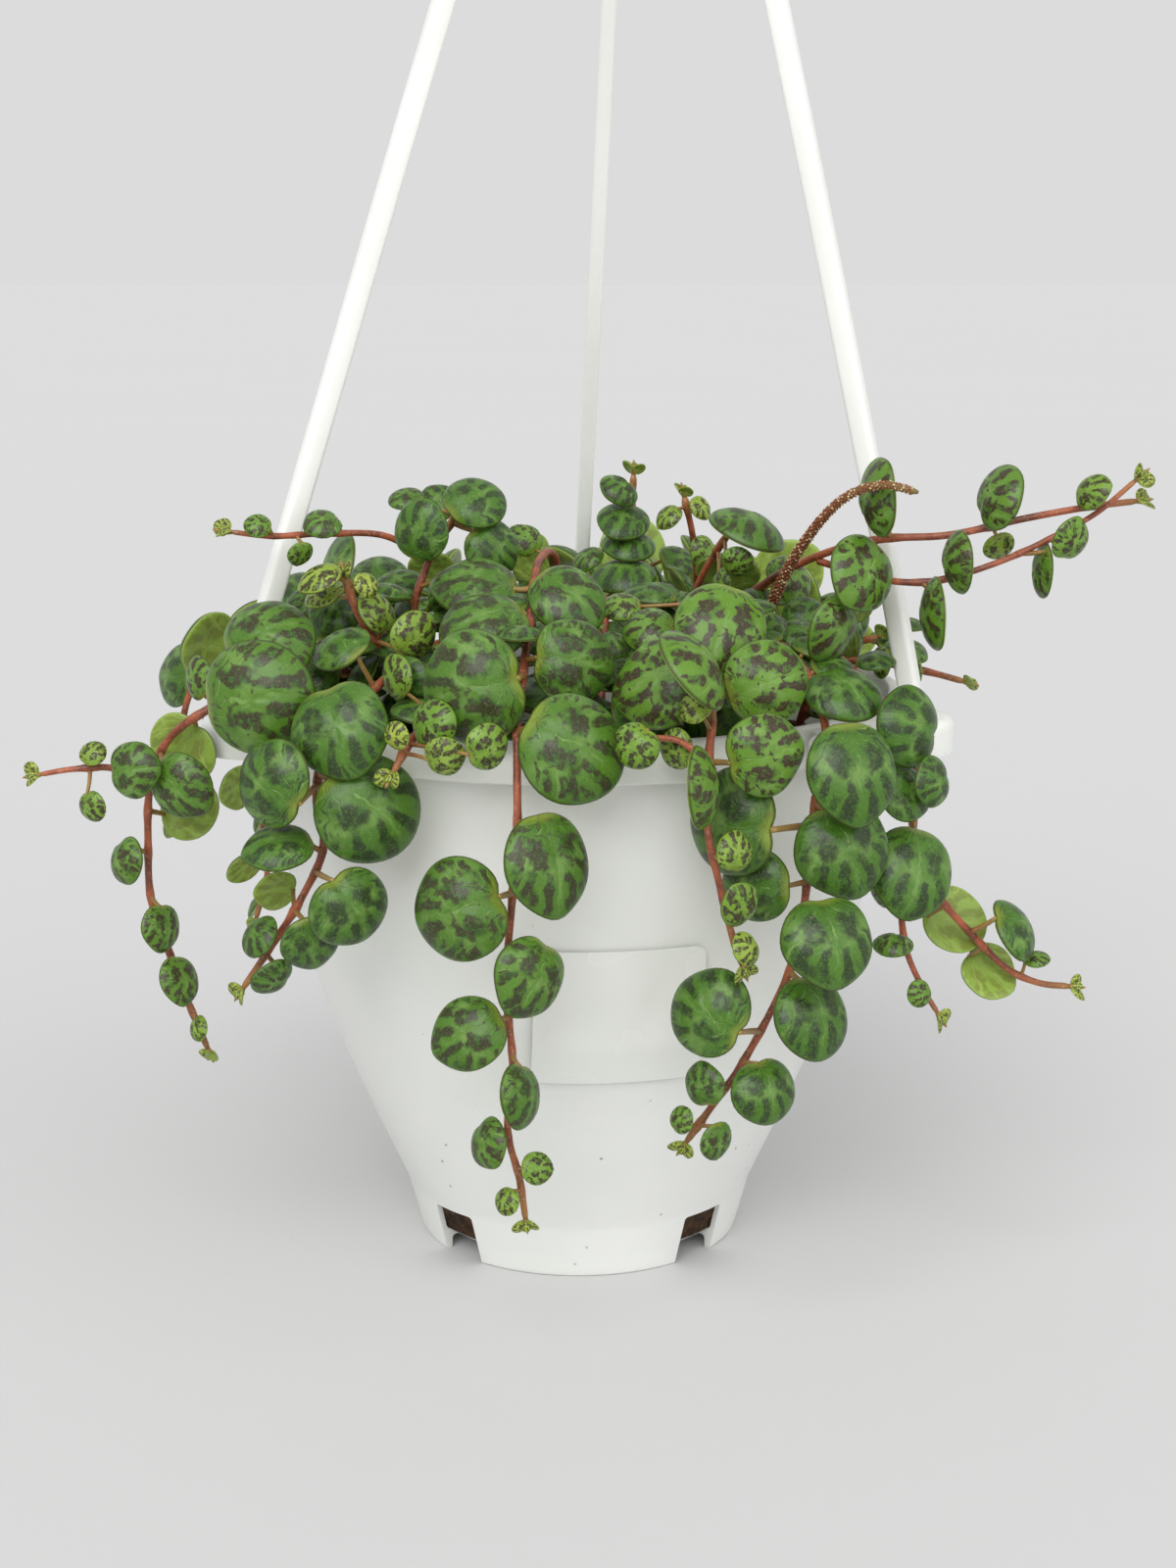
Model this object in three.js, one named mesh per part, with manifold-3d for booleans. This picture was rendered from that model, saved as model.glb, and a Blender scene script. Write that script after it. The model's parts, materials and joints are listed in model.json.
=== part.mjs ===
// Potted string of turtles: a trailing plant with round domed leaves in a white hanging pot.
// Millimetres, +Z up. The origin is on the pot's axis, at the level of the foot that it stands on.

import * as THREE from 'three';
import { mergeVertices } from 'three/addons/utils/BufferGeometryUtils.js';
import Module from 'manifold-3d';

const wasm = await Module();
wasm.setup();

// Pot: radius and height of the outer wall, from the foot to under the rim
const WALL_OUTLINE = [[32.3, 0], [35.2, 11], [43.9, 30.5], [53, 53.4], [59, 80], [61.5, 104.5]];
const WALL = 1.2;
const FOOT_WALL = 1.4;
const FLOOR_BOTTOM = 2.5;
const FLOOR_TOP = 4;
const RIM_RADIUS = 65;
const RIM_BOTTOM = 104.5;
const RIM_BEAD_TOP = 107.3;
const RIM_SHOULDER = [64.1, 110];
const RIM_TOP = 111.6;
const RIM_TOP_RADIUS = 62.6;
const RIM_INNER_RADIUS = 60.8;
const POT_SIDES = 32;
const NOTCH_WIDTH = 10.2;
const NOTCH_HEIGHT = 10.4;
const NOTCH_CORNER = 0.8;
const NOTCH_ANGLES = [45, 135, 225, 315];

// Ears on the rim that hold the hanger, measured from the pot's axis
const EAR_ANGLES = [90, 210, 330];
const EAR_CENTRE = 67;
const EAR_RADIUS = 11;
const EAR_START = 62;
const EAR_ROOT_RADIUS = 61;
const EAR_ROOT_HALF = 24;
const EAR_BOTTOM = 104.8;
const EAR_TOP = 111.3;
const EAR_WALL = 1.4;
const EAR_PLATE = 1.6;
const EAR_HOLE = [5.8, 5.2];

// Hanger: three arms, a hub and a hook, moulded as one piece
const ARM_SECTION = [3.2, 4];
const ARM_FOOT = 71.3;
const KNOB = [7.4, 6.6, 2.6];
const KNOB_CENTRE = 108;
const HUB = new THREE.Vector3(11, 0, 350);
const HUB_RADIUS = 6;
const HUB_HEIGHT = 12;
const HOOK_WIRE = 2.1;
const HOOK_RADIUS = 14;
const HOOK_CENTRE_HEIGHT = 36;

// Clear label on the front of the pot, left blank
const LABEL_WIDTH = 31;
const LABEL_BOTTOM = 46;
const LABEL_TOP = 73;
const LABEL_ANGLE = -82;
const LABEL_THICKNESS = 0.4;
const LABEL_GAP = 0.3;

// Soil and what stands in it
const GAP = 0.35;
const SOIL_TOP = 103;
const SOIL_DROP = 6;
const SOIL_EDGE_RADIUS = 58.5;
const ROOT_HEIGHTS = [-8, -2, 3];
const ROOT_HOLE_RADIUS = 2.7;
const ROOT_HOLE_SIDES = 4;

// Stems and leaves
const STEM_RADIUS = 1.15;
const TWIG_RADIUS = 0.85;
const STEM_SIDES = 5;
const STEM_STEP = 14;
const STEM_TAPER = 0.35;
const PETIOLE = 0.06;
const DROOP = 24;
const DOME = 0.17;
const HOLLOW = 0.05;
const MIDDLE_OF_PLANT = 80;
const LARGE_LEAF = 15.2;
const SMALL_LEAF = 9;
const LEAF_REACH = 0.56;

// Clear space round a leaf: to other leaves, to other shoots' stems and to its own shoot's stem
const MARGIN = 1.1;
const STEM_MARGIN = MARGIN + STEM_RADIUS;
const OWN_STEM_MARGIN = 0.9;
const OWN_STEM_NEAR = 3;

const COLOURS = {
  plastic: 0xe9ece6, film: 0xf2f4f2, soil: 0x4a3524, leaf: 0x567a4a, young: 0x8fae4e, spike: 0x7a4a3a,
};

// Shoots placed by hand, as the front of the plant shows them.
// root: where the stem comes out of the soil. A shoot with no root branches off its node's stem.
// leaves: middle of the blade, its width, and the way its upper side faces, in degrees right of
// straight to the front and up from level.
const SHOOTS = [
  {
    "node": "trail_front_middle", "root": [-2, -6],
    "route": [[-4, -16, 136], [-7, -29, 139], [-8, -42, 133], [-9, -55, 125], [-10, -65, 117],
      [-10, -72, 108], [-10, -74, 98], [-11, -75, 86], [-12, -75, 72], [-11, -75, 58],
      [-12, -74, 46], [-10, -74, 37], [-9, -73, 29]],
    "leaves": [[-18, -38, 135, 16, 5, 60], [-2, -44, 134, 14, 10, 40], [-16, -50, 130, 16, -5, 50],
      [-1, -58, 125, 15, 20, 15], [-17, -66, 122, 19, -15, 5], [-1, -74, 113, 19, 20, 20],
      [-5, -80, 95, 17, 35, 15], [-19, -80, 87, 17, -15, 10], [-8, -80, 76, 14, 35, 5],
      [-18, -79, 65, 13, -15, 20], [-10, -79, 54, 12, 65, 10], [-15, -78, 45, 9, -50, 15],
      [-7, -77, 40, 6, 30, 20], [-12, -77, 34, 5, -30, 20], [-10, -14, 141, 7, 20, 35]],
  },
  {
    "node": "trail_front_left", "root": [-13, -20],
    "route": [[-20, -30, 124], [-29, -42, 123], [-37, -53, 118], [-43, -60, 111], [-45, -62, 102],
      [-44, -62, 93], [-48, -62, 84], [-53, -61, 76], [-59, -60, 67]],
    "leaves": [[-41, -47, 126, 11, -40, 55], [-40, -67, 115, 17, -10, 20], [-51, -67, 106, 15, -30, 5],
      [-36, -70, 101, 19, 20, 10], [-51, -66, 94, 12, 0, 60], [-39, -69, 85, 14, 25, 0],
      [-53, -57, 84, 8, -155, 20], [-46, -68, 78, 11, 25, -20], [-55, -65, 78, 8, -45, 35],
      [-53, -66, 71, 8, 35, -30], [-29, -50, 120, 10, -35, -5]],
  },
  {
    "node": "trail_left_outer", "root": [-22, -12],
    "route": [[-33, -20, 123], [-44, -31, 124], [-55, -42, 119], [-65, -47, 115], [-73, -46, 109],
      [-77, -44, 100], [-78, -43, 89], [-78, -42, 78], [-75, -42, 68], [-72, -41, 58],
      [-69, -40, 49]],
    "leaves": [[-54, -47, 127, 17, -5, 40], [-55, -55, 119, 20, -10, 5], [-67, -46, 120, 8, -50, 5],
      [-71, -41, 107, 13, 160, 5], [-71, -40, 95, 12, 160, -20], [-70, -52, 102, 12, -15, 0],
      [-81, -47, 87, 9, -45, 10], [-76, -45, 74, 9, 55, 10], [-73, -45, 64, 9, 50, 25],
      [-70, -43, 54, 5, -45, 15]],
  },
  {
    "node": "trail_left_outer",
    "route": [[-77, -45, 101], [-83, -47, 104], [-90, -48, 104], [-96, -48, 103]],
    "leaves": [[-78, -53, 105, 10, -15, 10], [-86, -51, 98, 6, -30, -5], [-86, -49, 107, 5, -5, 40]],
  },
  {
    "node": "trail_front_young", "root": [14, -4],
    "route": [[20, -15, 127], [24, -27, 133], [25, -40, 130], [24, -53, 123], [23, -65, 116],
      [22, -72, 108], [22, -75, 99], [24, -76, 90], [26, -76, 82], [28, -76, 76]],
    "leaves": [[25, -46, 130, 17, 10, 30], [13, -42, 128, 10, -10, 50], [8, -36, 131, 8, 0, 60],
      [15, -62, 122, 17, -25, 25], [32, -62, 122, 15, 10, 15], [31, -74, 112, 14, 15, 5],
      [19, -71, 126, 16, 70, 40], [20, -80, 108, 14, 75, 5], [20, -70, 119, 6, -25, 40],
      [17, -75, 112, 7, -35, 0], [26, -81, 97, 7, 30, 10], [27, -81, 88, 8, 35, -10],
      [28, -81, 81, 6, 45, 25]],
  },
  {
    "node": "trail_front_young",
    "route": [[22, -71, 110], [17, -72, 114], [11, -70, 114]],
    "leaves": [[10, -74, 114, 8, -20, 10]],
  },
  {
    "node": "trail_front_right", "root": [28, -20],
    "route": [[34, -30, 123], [39, -42, 123], [42, -53, 118], [43, -61, 111], [41, -64, 102],
      [40, -65, 92], [39, -66, 82], [37, -67, 73], [33, -68, 64], [28, -69, 55], [23, -70, 48],
      [19, -70, 42]],
    "leaves": [[46, -57, 119, 14, 10, 60], [46, -67, 109, 17, 20, 20], [27, -70, 99, 18, -35, 5],
      [45, -70, 95, 17, 15, 15], [56, -58, 103, 11, 35, 25], [31, -70, 88, 13, -30, 5],
      [42, -72, 81, 16, 15, 25], [23, -74, 67, 15, -25, 15],
      [40, -73, 66, 15, 30, 25], [22, -74, 54, 8, -35, 5], [32, -74, 53, 12, 25, 20],
      [18, -73, 48, 5, -40, 15], [24, -74, 44, 7, 35, -5]],
  },
  {
    "node": "trail_right_outer", "root": [42, -12],
    "route": [[46, -24, 119], [51, -37, 119], [55, -46, 115], [59, -53, 108], [59, -55, 98],
      [60, -55, 89], [65, -53, 81], [72, -50, 73], [78, -48, 67], [84, -47, 64], [90, -46, 63]],
    "leaves": [[57, -56, 114, 14, 35, 15], [61, -57, 105, 9, 45, 10], [58, -62, 89, 16, 20, 25],
      [68, -49, 76, 13, -160, -35], [75, -46, 66, 11, -160, -35], [78, -51, 75, 12, 60, 35],
      [83, -49, 69, 5, -20, 70]],
  },
  {
    "node": "trail_right_outer",
    "route": [[60, -55, 90], [57, -59, 83], [58, -59, 74], [61, -59, 67], [64, -59, 62]],
    "leaves": [[54, -64, 85, 7, -50, -5], [55, -64, 76, 7, -15, 70], [60, -63, 67, 5, 25, 15]],
  },
  {
    "node": "shoot_left_high", "root": [-20, -16],
    "route": [[-27, -24, 118], [-30, -28, 129], [-28, -28, 137], [-25, -26, 143], [-21, -22, 148]],
    "leaves": [[-28, -34, 145, 11, -20, 0], [-19, -25, 149, 12, 15, 45], [-16, -30, 141, 11, 30, 15],
      [-26, -14, 148, 8, -10, 35], [-32, -17, 149, 7, -15, 60], [-25, -35, 133, 8, 60, 5]],
  },
  {
    "node": "shoot_left_high",
    "route": [[-27, -28, 139], [-35, -33, 144], [-45, -39, 145], [-54, -43, 145], [-61, -45, 146]],
    "leaves": [[-45, -42, 147, 7, 10, 50], [-49, -43, 142, 5, 30, -30], [-56, -45, 147, 5, 10, 40]],
  },
  {
    "node": "shoot_left_young", "root": [-26, -28],
    "route": [[-31, -35, 116], [-35, -40, 124], [-39, -43, 131], [-41, -44, 138]],
    "leaves": [[-29, -46, 128, 9, 30, 0], [-36, -47, 131, 9, 60, 30], [-45, -40, 134, 8, -40, 60],
      [-45, -47, 138, 8, -30, 55], [-37, -48, 137, 5, 40, 30]],
  },
  {
    "node": "shoot_left_crown", "root": [-30, -12],
    "route": [[-33, -15, 114], [-37, -18, 122], [-41, -23, 127]],
    "leaves": [[-44, -33, 130, 10, -10, 45], [-50, -25, 131, 8, -20, 50], [-34, -20, 133, 9, -10, 55],
      [-38, -10, 134, 11, -5, 65]],
  },
  {
    "node": "shoot_rim_left", "root": [-14, -38],
    "route": [[-19, -48, 112], [-24, -58, 115], [-28, -66, 113], [-31, -70, 108]],
    "leaves": [[-31, -54, 122, 8, -45, 5], [-24, -65, 116, 9, -30, 10], [-22, -75, 112, 7, -5, -10],
      [-15, -73, 114, 8, 25, -5], [-30, -71, 115, 5, -30, 0]],
  },
  {
    "node": "shoot_middle", "root": [18, 2],
    "route": [[20, -3, 120], [23, -10, 132], [26, -16, 139], [28, -21, 143]],
    "leaves": [[31, -26, 144, 15, 55, 65], [29, -30, 139, 6, -5, -20], [27, -22, 134, 6, -60, 5]],
  },
  {
    "node": "shoot_right_reach", "root": [24, 2],
    "route": [[29, -6, 124], [35, -17, 133], [44, -30, 140], [54, -39, 144], [66, -41, 145],
      [79, -42, 148], [90, -42, 150], [99, -41, 151]],
    "leaves": [[50, -44, 139, 14, 35, 20], [45, -46, 129, 16, 45, -10], [53, -46, 152, 14, -75, 0],
      [74, -46, 152, 12, -65, 20], [75, -40, 143, 6, 15, -30], [90, -46, 153, 7, -50, 25],
      [40, -12, 133, 10, 30, 30]],
  },
  {
    "node": "shoot_right_reach",
    "route": [[44, -30, 139], [54, -40, 137], [63, -43, 137], [73, -44, 140], [82, -44, 144],
      [91, -44, 149], [98, -44, 155]],
    "leaves": [[51, -34, 132, 7, 130, -20], [63, -46, 132, 13, -85, 0], [67, -48, 141, 11, -75, 0],
      [86, -48, 145, 8, 30, -15], [83, -46, 139, 10, -85, 0]],
  },
  {
    "node": "shoot_right_low", "root": [40, -2],
    "route": [[46, -8, 114], [53, -14, 118], [60, -19, 118], [67, -23, 117], [72, -26, 116]],
    "leaves": [[40, -19, 122, 8, -45, 50], [48, -21, 118, 8, 25, 50], [57, -22, 119, 6, -60, 5],
      [63, -26, 118, 6, -80, 0]],
  },
  {
    "node": "shoot_back_middle", "root": [13, 20],
    "route": [[14, 20, 118], [13, 19, 130], [11, 17, 142], [11, 15, 151]],
    "leaves": [[9, 8, 131, 13, -20, 70], [10, 11, 137, 11, 10, 65], [9, 13, 142, 11, 15, 55],
      [8, 11, 148, 8, 30, 45], [2, 14, 134, 7, -40, 50], [20, 16, 133, 8, 30, 45]],
  },
  {
    "node": "shoot_back_right", "root": [24, 16],
    "route": [[24, 16, 116], [24, 15, 127], [23, 12, 138], [21, 10, 147]],
    "leaves": [[25, 9, 136, 7, 35, 10], [18, 9, 143, 6, -40, 40], [24, 8, 145, 5, 35, 25]],
  },
];

// Flower spike: its route out of the soil, and where the bare stalk ends
const SPIKE_ROOT = [32, -6];
const SPIKE_ROUTE = [[35, -14, 122], [37, -25, 133], [41, -38, 144], [46, -49, 152], [52, -54, 155],
  [58, -57, 154]];
const SPIKE_RADIUS = 1.9;
const SPIKE_STEPS = 22;
const SPIKE_SIDES = 8;
const SPIKE_BUMP = 0.2;

// Shoots grown by rule, round the sides and back and in the crown
const TRAIL_ANGLES = [46, 60, 74, 88, 104, 128, 152, 178];
const TRAIL_ENDS = [84, 62, 46, 70, 38, 72, 52, 78];
const CROWN_SHOOTS = 14;
const CROWN_LEAVES = 6;
const GOLDEN_ANGLE = 137.5;

const UP = new THREE.Vector3(0, 0, 1);
const degrees = THREE.MathUtils.degToRad;

function seededDraw(seed) {
  let state = seed;
  return () => {
    state = (Math.imul(state, 1664525) + 1013904223) >>> 0;
    return state / 4294967296;
  };
}

// Closed mesh to solid, and back
function solidOf(geometry) {
  const bare = geometry.clone();
  bare.deleteAttribute('normal');
  bare.deleteAttribute('uv');
  const merged = mergeVertices(bare, 1e-4);
  const corners = merged.index.array;
  const kept = [];
  for (let i = 0; i < corners.length; i += 3) {
    const [a, b, c] = [corners[i], corners[i + 1], corners[i + 2]];
    if (a !== b && b !== c && c !== a) kept.push(a, b, c);
  }
  const vertProperties = new Float32Array(merged.attributes.position.array);
  return new wasm.Manifold(
    new wasm.Mesh({ numProp: 3, vertProperties, triVerts: new Uint32Array(kept) }));
}

function geometryOf(solid) {
  const mesh = solid.getMesh();
  const geometry = new THREE.BufferGeometry();
  geometry.setAttribute('position', new THREE.BufferAttribute(mesh.vertProperties, 3));
  geometry.setIndex(new THREE.BufferAttribute(mesh.triVerts, 1));
  geometry.computeVertexNormals();
  return geometry;
}

function fuse(solids) {
  return solids.reduce((whole, piece) => whole.add(piece));
}

function onAxis(radius, angle, height) {
  return new THREE.Vector3(
    radius * Math.cos(degrees(angle)), radius * Math.sin(degrees(angle)), height);
}

function turned(profile, sides) {
  const points = profile.map(([radius, height]) => new THREE.Vector2(radius, height));
  return new THREE.LatheGeometry(points, sides).rotateX(Math.PI / 2);
}

function wallRadius(height) {
  for (let i = 1; i < WALL_OUTLINE.length; i += 1) {
    const [r0, z0] = WALL_OUTLINE[i - 1];
    const [r1, z1] = WALL_OUTLINE[i];
    if (height <= z1) return r0 + (r1 - r0) * (height - z0) / (z1 - z0);
  }
  return RIM_RADIUS;
}

function soilHeight(radius) {
  return SOIL_TOP - SOIL_DROP * (radius / SOIL_EDGE_RADIUS) ** 2;
}

// Pot
function earOutline(inset) {
  const radius = EAR_RADIUS - inset;
  const half = EAR_ROOT_HALF - 4 * inset;
  const shape = new THREE.Shape();
  shape.moveTo(EAR_ROOT_RADIUS, -half);
  shape.quadraticCurveTo(EAR_CENTRE - 2, -radius - 3, EAR_CENTRE, -radius);
  shape.absarc(EAR_CENTRE, 0, radius, -Math.PI / 2, Math.PI / 2, false);
  shape.quadraticCurveTo(EAR_CENTRE - 2, radius + 3, EAR_ROOT_RADIUS, half);
  shape.closePath();
  return shape;
}

function earSlab(inset, bottom, top, angle) {
  const settings = { depth: top - bottom, bevelEnabled: false, curveSegments: 4 };
  const slab = new THREE.ExtrudeGeometry(earOutline(inset), settings);
  return solidOf(slab.translate(0, 0, bottom).rotateZ(degrees(angle)));
}

function ear(angle) {
  const body = earSlab(0, EAR_BOTTOM, EAR_TOP, angle);
  const pocket = earSlab(EAR_WALL, EAR_BOTTOM - 1, EAR_TOP - EAR_PLATE, angle);
  const hole = new THREE.BoxGeometry(EAR_HOLE[0], EAR_HOLE[1], 8);
  hole.translate(ARM_FOOT - 0.3, 0, RIM_TOP).rotateZ(degrees(angle));
  return body.subtract(pocket).subtract(solidOf(hole));
}

function notch(angle) {
  const half = NOTCH_WIDTH / 2;
  const shape = new THREE.Shape();
  shape.moveTo(-half, -1);
  shape.lineTo(half, -1);
  shape.lineTo(half, NOTCH_HEIGHT - NOTCH_CORNER);
  shape.absarc(half - NOTCH_CORNER, NOTCH_HEIGHT - NOTCH_CORNER, NOTCH_CORNER, 0, Math.PI / 2, false);
  shape.absarc(NOTCH_CORNER - half, NOTCH_HEIGHT - NOTCH_CORNER, NOTCH_CORNER, Math.PI / 2, Math.PI, false);
  shape.closePath();
  const block = new THREE.ExtrudeGeometry(shape, { depth: 9, bevelEnabled: false, curveSegments: 1 });
  block.rotateX(Math.PI / 2).rotateZ(Math.PI / 2).translate(29, 0, 0).rotateZ(degrees(angle));
  return solidOf(block);
}

function innerWall(gap) {
  const points = [[wallRadius(FLOOR_TOP + gap) - WALL - gap, FLOOR_TOP + gap]];
  for (const [radius, height] of WALL_OUTLINE.slice(1)) points.push([radius - WALL - gap, height]);
  return points;
}

function potSolid() {
  const footInner = WALL_OUTLINE[0][0] - FOOT_WALL;
  const outside = [[0, FLOOR_BOTTOM], [footInner, FLOOR_BOTTOM], [footInner, 0], ...WALL_OUTLINE];
  const rim = [[RIM_RADIUS, RIM_BOTTOM], [RIM_RADIUS, RIM_BEAD_TOP], RIM_SHOULDER,
    [RIM_TOP_RADIUS, RIM_TOP], [RIM_INNER_RADIUS, RIM_TOP]];
  const inside = [...innerWall(0).reverse(), [0, FLOOR_TOP]];
  const shell = solidOf(turned([...outside, ...rim, ...inside], POT_SIDES));
  const bore = turned([[0, RIM_BOTTOM - 3], [EAR_START, RIM_BOTTOM - 3], [EAR_START, RIM_TOP + 3],
    [0, RIM_TOP + 3]], POT_SIDES);
  const ears = fuse(EAR_ANGLES.map(ear)).subtract(solidOf(bore));
  return fuse([shell, ears]).subtract(fuse(NOTCH_ANGLES.map(notch)));
}

function soilSolid(roots) {
  const side = innerWall(GAP).filter(([, height]) => height < soilHeight(SOIL_EDGE_RADIUS) - 2);
  const top = [];
  for (const share of [1, 0.6, 0]) {
    const radius = share * SOIL_EDGE_RADIUS;
    top.push([radius, soilHeight(radius)]);
  }
  const body = solidOf(turned([[0, FLOOR_TOP + GAP], ...side, ...top], POT_SIDES));
  const holes = roots.map(([x, y]) => {
    const hole = new THREE.CylinderGeometry(ROOT_HOLE_RADIUS, ROOT_HOLE_RADIUS, 14, ROOT_HOLE_SIDES);
    return solidOf(hole.rotateX(Math.PI / 2).translate(x, y, soilHeight(Math.hypot(x, y)) - 3));
  });
  return body.subtract(fuse(holes));
}

function labelSolid() {
  const height = LABEL_TOP - LABEL_BOTTOM;
  const sheet = new THREE.BoxGeometry(LABEL_WIDTH, height, LABEL_THICKNESS, 5, 4, 1);
  const place = sheet.attributes.position;
  for (let i = 0; i < place.count; i += 1) {
    const z = LABEL_BOTTOM + height / 2 + place.getY(i);
    const radius = wallRadius(z) + LABEL_GAP + LABEL_THICKNESS / 2 + place.getZ(i);
    const angle = LABEL_ANGLE + THREE.MathUtils.radToDeg(place.getX(i) / wallRadius(z));
    const point = onAxis(radius, angle, z);
    place.setXYZ(i, point.x, point.y, point.z);
  }
  return solidOf(sheet);
}

// Hanger
function armRoute(angle) {
  const foot = onAxis(ARM_FOOT, angle, KNOB_CENTRE);
  const neck = onAxis(ARM_FOOT - 0.6, angle, RIM_TOP + 1);
  const end = new THREE.Vector3(HUB.x, HUB.y, HUB.z - 2);
  const quarter = neck.clone().lerp(end, 0.3).addScaledVector(onAxis(1, angle, 0), 1.2);
  const half = neck.clone().lerp(end, 0.62).addScaledVector(onAxis(1, angle, 0), 1.2);
  return [foot, neck, quarter, half, end];
}

function sectionOf(width, depth) {
  const shape = new THREE.Shape();
  const [w, d, cut] = [width / 2, depth / 2, 0.7];
  const corners = [[w, d - cut], [w - cut, d], [cut - w, d], [-w, d - cut], [-w, cut - d], [cut - w, -d],
    [w - cut, -d], [w, cut - d]];
  shape.setFromPoints(corners.map(([x, y]) => new THREE.Vector2(x, y)));
  return shape;
}

function sweep(shape, curve, steps) {
  return new THREE.ExtrudeGeometry(shape, { steps, bevelEnabled: false, extrudePath: curve });
}

function armSolid(angle) {
  const curve = new THREE.CatmullRomCurve3(armRoute(angle), false, 'centripetal');
  const arm = sweep(sectionOf(...ARM_SECTION), curve, 10);
  const knob = new THREE.BoxGeometry(...KNOB);
  knob.translate(ARM_FOOT, 0, KNOB_CENTRE).rotateZ(degrees(angle));
  return fuse([solidOf(arm), solidOf(knob)]);
}

function hookSolid() {
  const centre = new THREE.Vector3(HUB.x, HUB.y, HUB.z + HOOK_CENTRE_HEIGHT);
  const points = [HUB.clone(), new THREE.Vector3(HUB.x, HUB.y, HUB.z + 12)];
  for (let angle = -52; angle <= 204; angle += 16) {
    const across = new THREE.Vector3(Math.cos(degrees(angle)), 0, Math.sin(degrees(angle)));
    points.push(centre.clone().addScaledVector(across, HOOK_RADIUS));
  }
  const curve = new THREE.CatmullRomCurve3(points, false, 'centripetal');
  return solidOf(sweep(roundSection(HOOK_WIRE, 6), curve, 22));
}

function hangerSolid() {
  const hub = new THREE.CylinderGeometry(HUB_RADIUS * 0.75, HUB_RADIUS, HUB_HEIGHT, 12);
  hub.rotateX(Math.PI / 2).translate(HUB.x, HUB.y, HUB.z);
  return fuse([solidOf(hub), hookSolid(), ...EAR_ANGLES.map(armSolid)]);
}

// Stems
function rooted(shoot) {
  if (!shoot.root) return shoot.route.map((p) => new THREE.Vector3(...p));
  const [x, y] = shoot.root;
  const ground = soilHeight(Math.hypot(x, y));
  const below = ROOT_HEIGHTS.map((height) => new THREE.Vector3(x, y, ground + height));
  return [...below, ...shoot.route.map((p) => new THREE.Vector3(...p))];
}

function stemCurve(shoot) {
  return new THREE.CatmullRomCurve3(rooted(shoot), false, 'catmullrom', 0.5);
}

function pointAt(shoot, at) {
  const before = shoot.root ? ROOT_HEIGHTS.length : 0;
  const last = shoot.route.length - 1 + before;
  return Math.min((at + before) / last, 1);
}

function stemSamples(shoot) {
  const curve = stemCurve(shoot);
  const count = Math.ceil(curve.getLength() / 2);
  return curve.getSpacedPoints(count);
}

function reshape(geometry, centres, factor) {
  const place = geometry.attributes.position;
  const vertex = new THREE.Vector3();
  for (let i = 0; i < place.count; i += 1) {
    vertex.fromBufferAttribute(place, i);
    let nearest = 0;
    centres.forEach((centre, k) => {
      if (vertex.distanceTo(centre) < vertex.distanceTo(centres[nearest])) nearest = k;
    });
    const offset = vertex.clone().sub(centres[nearest]);
    vertex.copy(centres[nearest]).addScaledVector(offset, factor(nearest, offset));
    place.setXYZ(i, vertex.x, vertex.y, vertex.z);
  }
  return geometry;
}

function roundSection(radius, sides) {
  const points = [];
  for (let i = 0; i < sides; i += 1) {
    const angle = 2 * Math.PI * i / sides;
    points.push(new THREE.Vector2(radius * Math.cos(angle), radius * Math.sin(angle)));
  }
  return new THREE.Shape(points);
}

function stemCentres(shoot) {
  const curve = stemCurve(shoot);
  return curve.getSpacedPoints(Math.max(3, Math.round(curve.getLength() / STEM_STEP)));
}

function stemSolid(shoot) {
  const centres = stemCentres(shoot);
  const steps = centres.length - 1;
  const radius = shoot.root ? STEM_RADIUS : TWIG_RADIUS;
  const tube = sweep(roundSection(radius, STEM_SIDES), stemCurve(shoot), steps);
  return solidOf(reshape(tube, centres, (k) => 1 - STEM_TAPER * k / steps));
}

function nearestOnStem(shoot, point) {
  const centres = stemCentres(shoot);
  let best = centres[0];
  for (let i = 1; i < centres.length; i += 1) {
    const piece = new THREE.Line3(centres[i - 1], centres[i]);
    const found = piece.closestPointToPoint(point, true, new THREE.Vector3());
    if (found.distanceTo(point) < best.distanceTo(point)) best = found;
  }
  return best;
}

// Leaves: each has its base on the stem, its tip along M and its upper side facing N
function outward(point) {
  const away = new THREE.Vector3(point.x, point.y, 0);
  const rise = Math.max(0.25 * away.length(), point.z - MIDDLE_OF_PLANT);
  return away.setZ(rise).normalize();
}

function placeLeaf(shoot, [at, turn, size, roll]) {
  const curve = stemCurve(shoot);
  const t = pointAt(shoot, at);
  const base = curve.getPoint(t);
  const tangent = curve.getPoint(Math.min(t + 0.002, 1)).sub(curve.getPoint(t - 0.002)).normalize();
  const facing = outward(base);
  const front = facing.clone().addScaledVector(tangent, -facing.dot(tangent)).normalize();
  const side = front.clone().cross(tangent);
  const across = front.clone().multiplyScalar(Math.cos(degrees(turn)));
  across.addScaledVector(side, Math.sin(degrees(turn)));
  const tip = across.multiplyScalar(Math.cos(degrees(DROOP)));
  tip.addScaledVector(tangent, Math.sin(degrees(DROOP))).normalize();
  const normal = facing.addScaledVector(tip, -facing.dot(tip)).normalize();
  normal.applyAxisAngle(tip, degrees(roll));
  const reach = size * (0.5 + PETIOLE) + STEM_RADIUS * 0.6;
  const centre = base.clone().addScaledVector(tip, reach);
  return { node: shoot.node, shoot, base, tip, normal, centre, size };
}

// A leaf placed by hand grows from its stem, from behind the blade towards the root
function leafBase(shoot, centre, size) {
  const path = stemSamples(shoot);
  let nearest = 0;
  path.forEach((point, k) => {
    if (point.distanceTo(centre) < path[nearest].distanceTo(centre)) nearest = k;
  });
  nearest = Math.min(nearest, path.length - 2);
  while (nearest > 0 && path[nearest].distanceTo(centre) < size * LEAF_REACH) nearest -= 1;
  return path[nearest];
}

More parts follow.
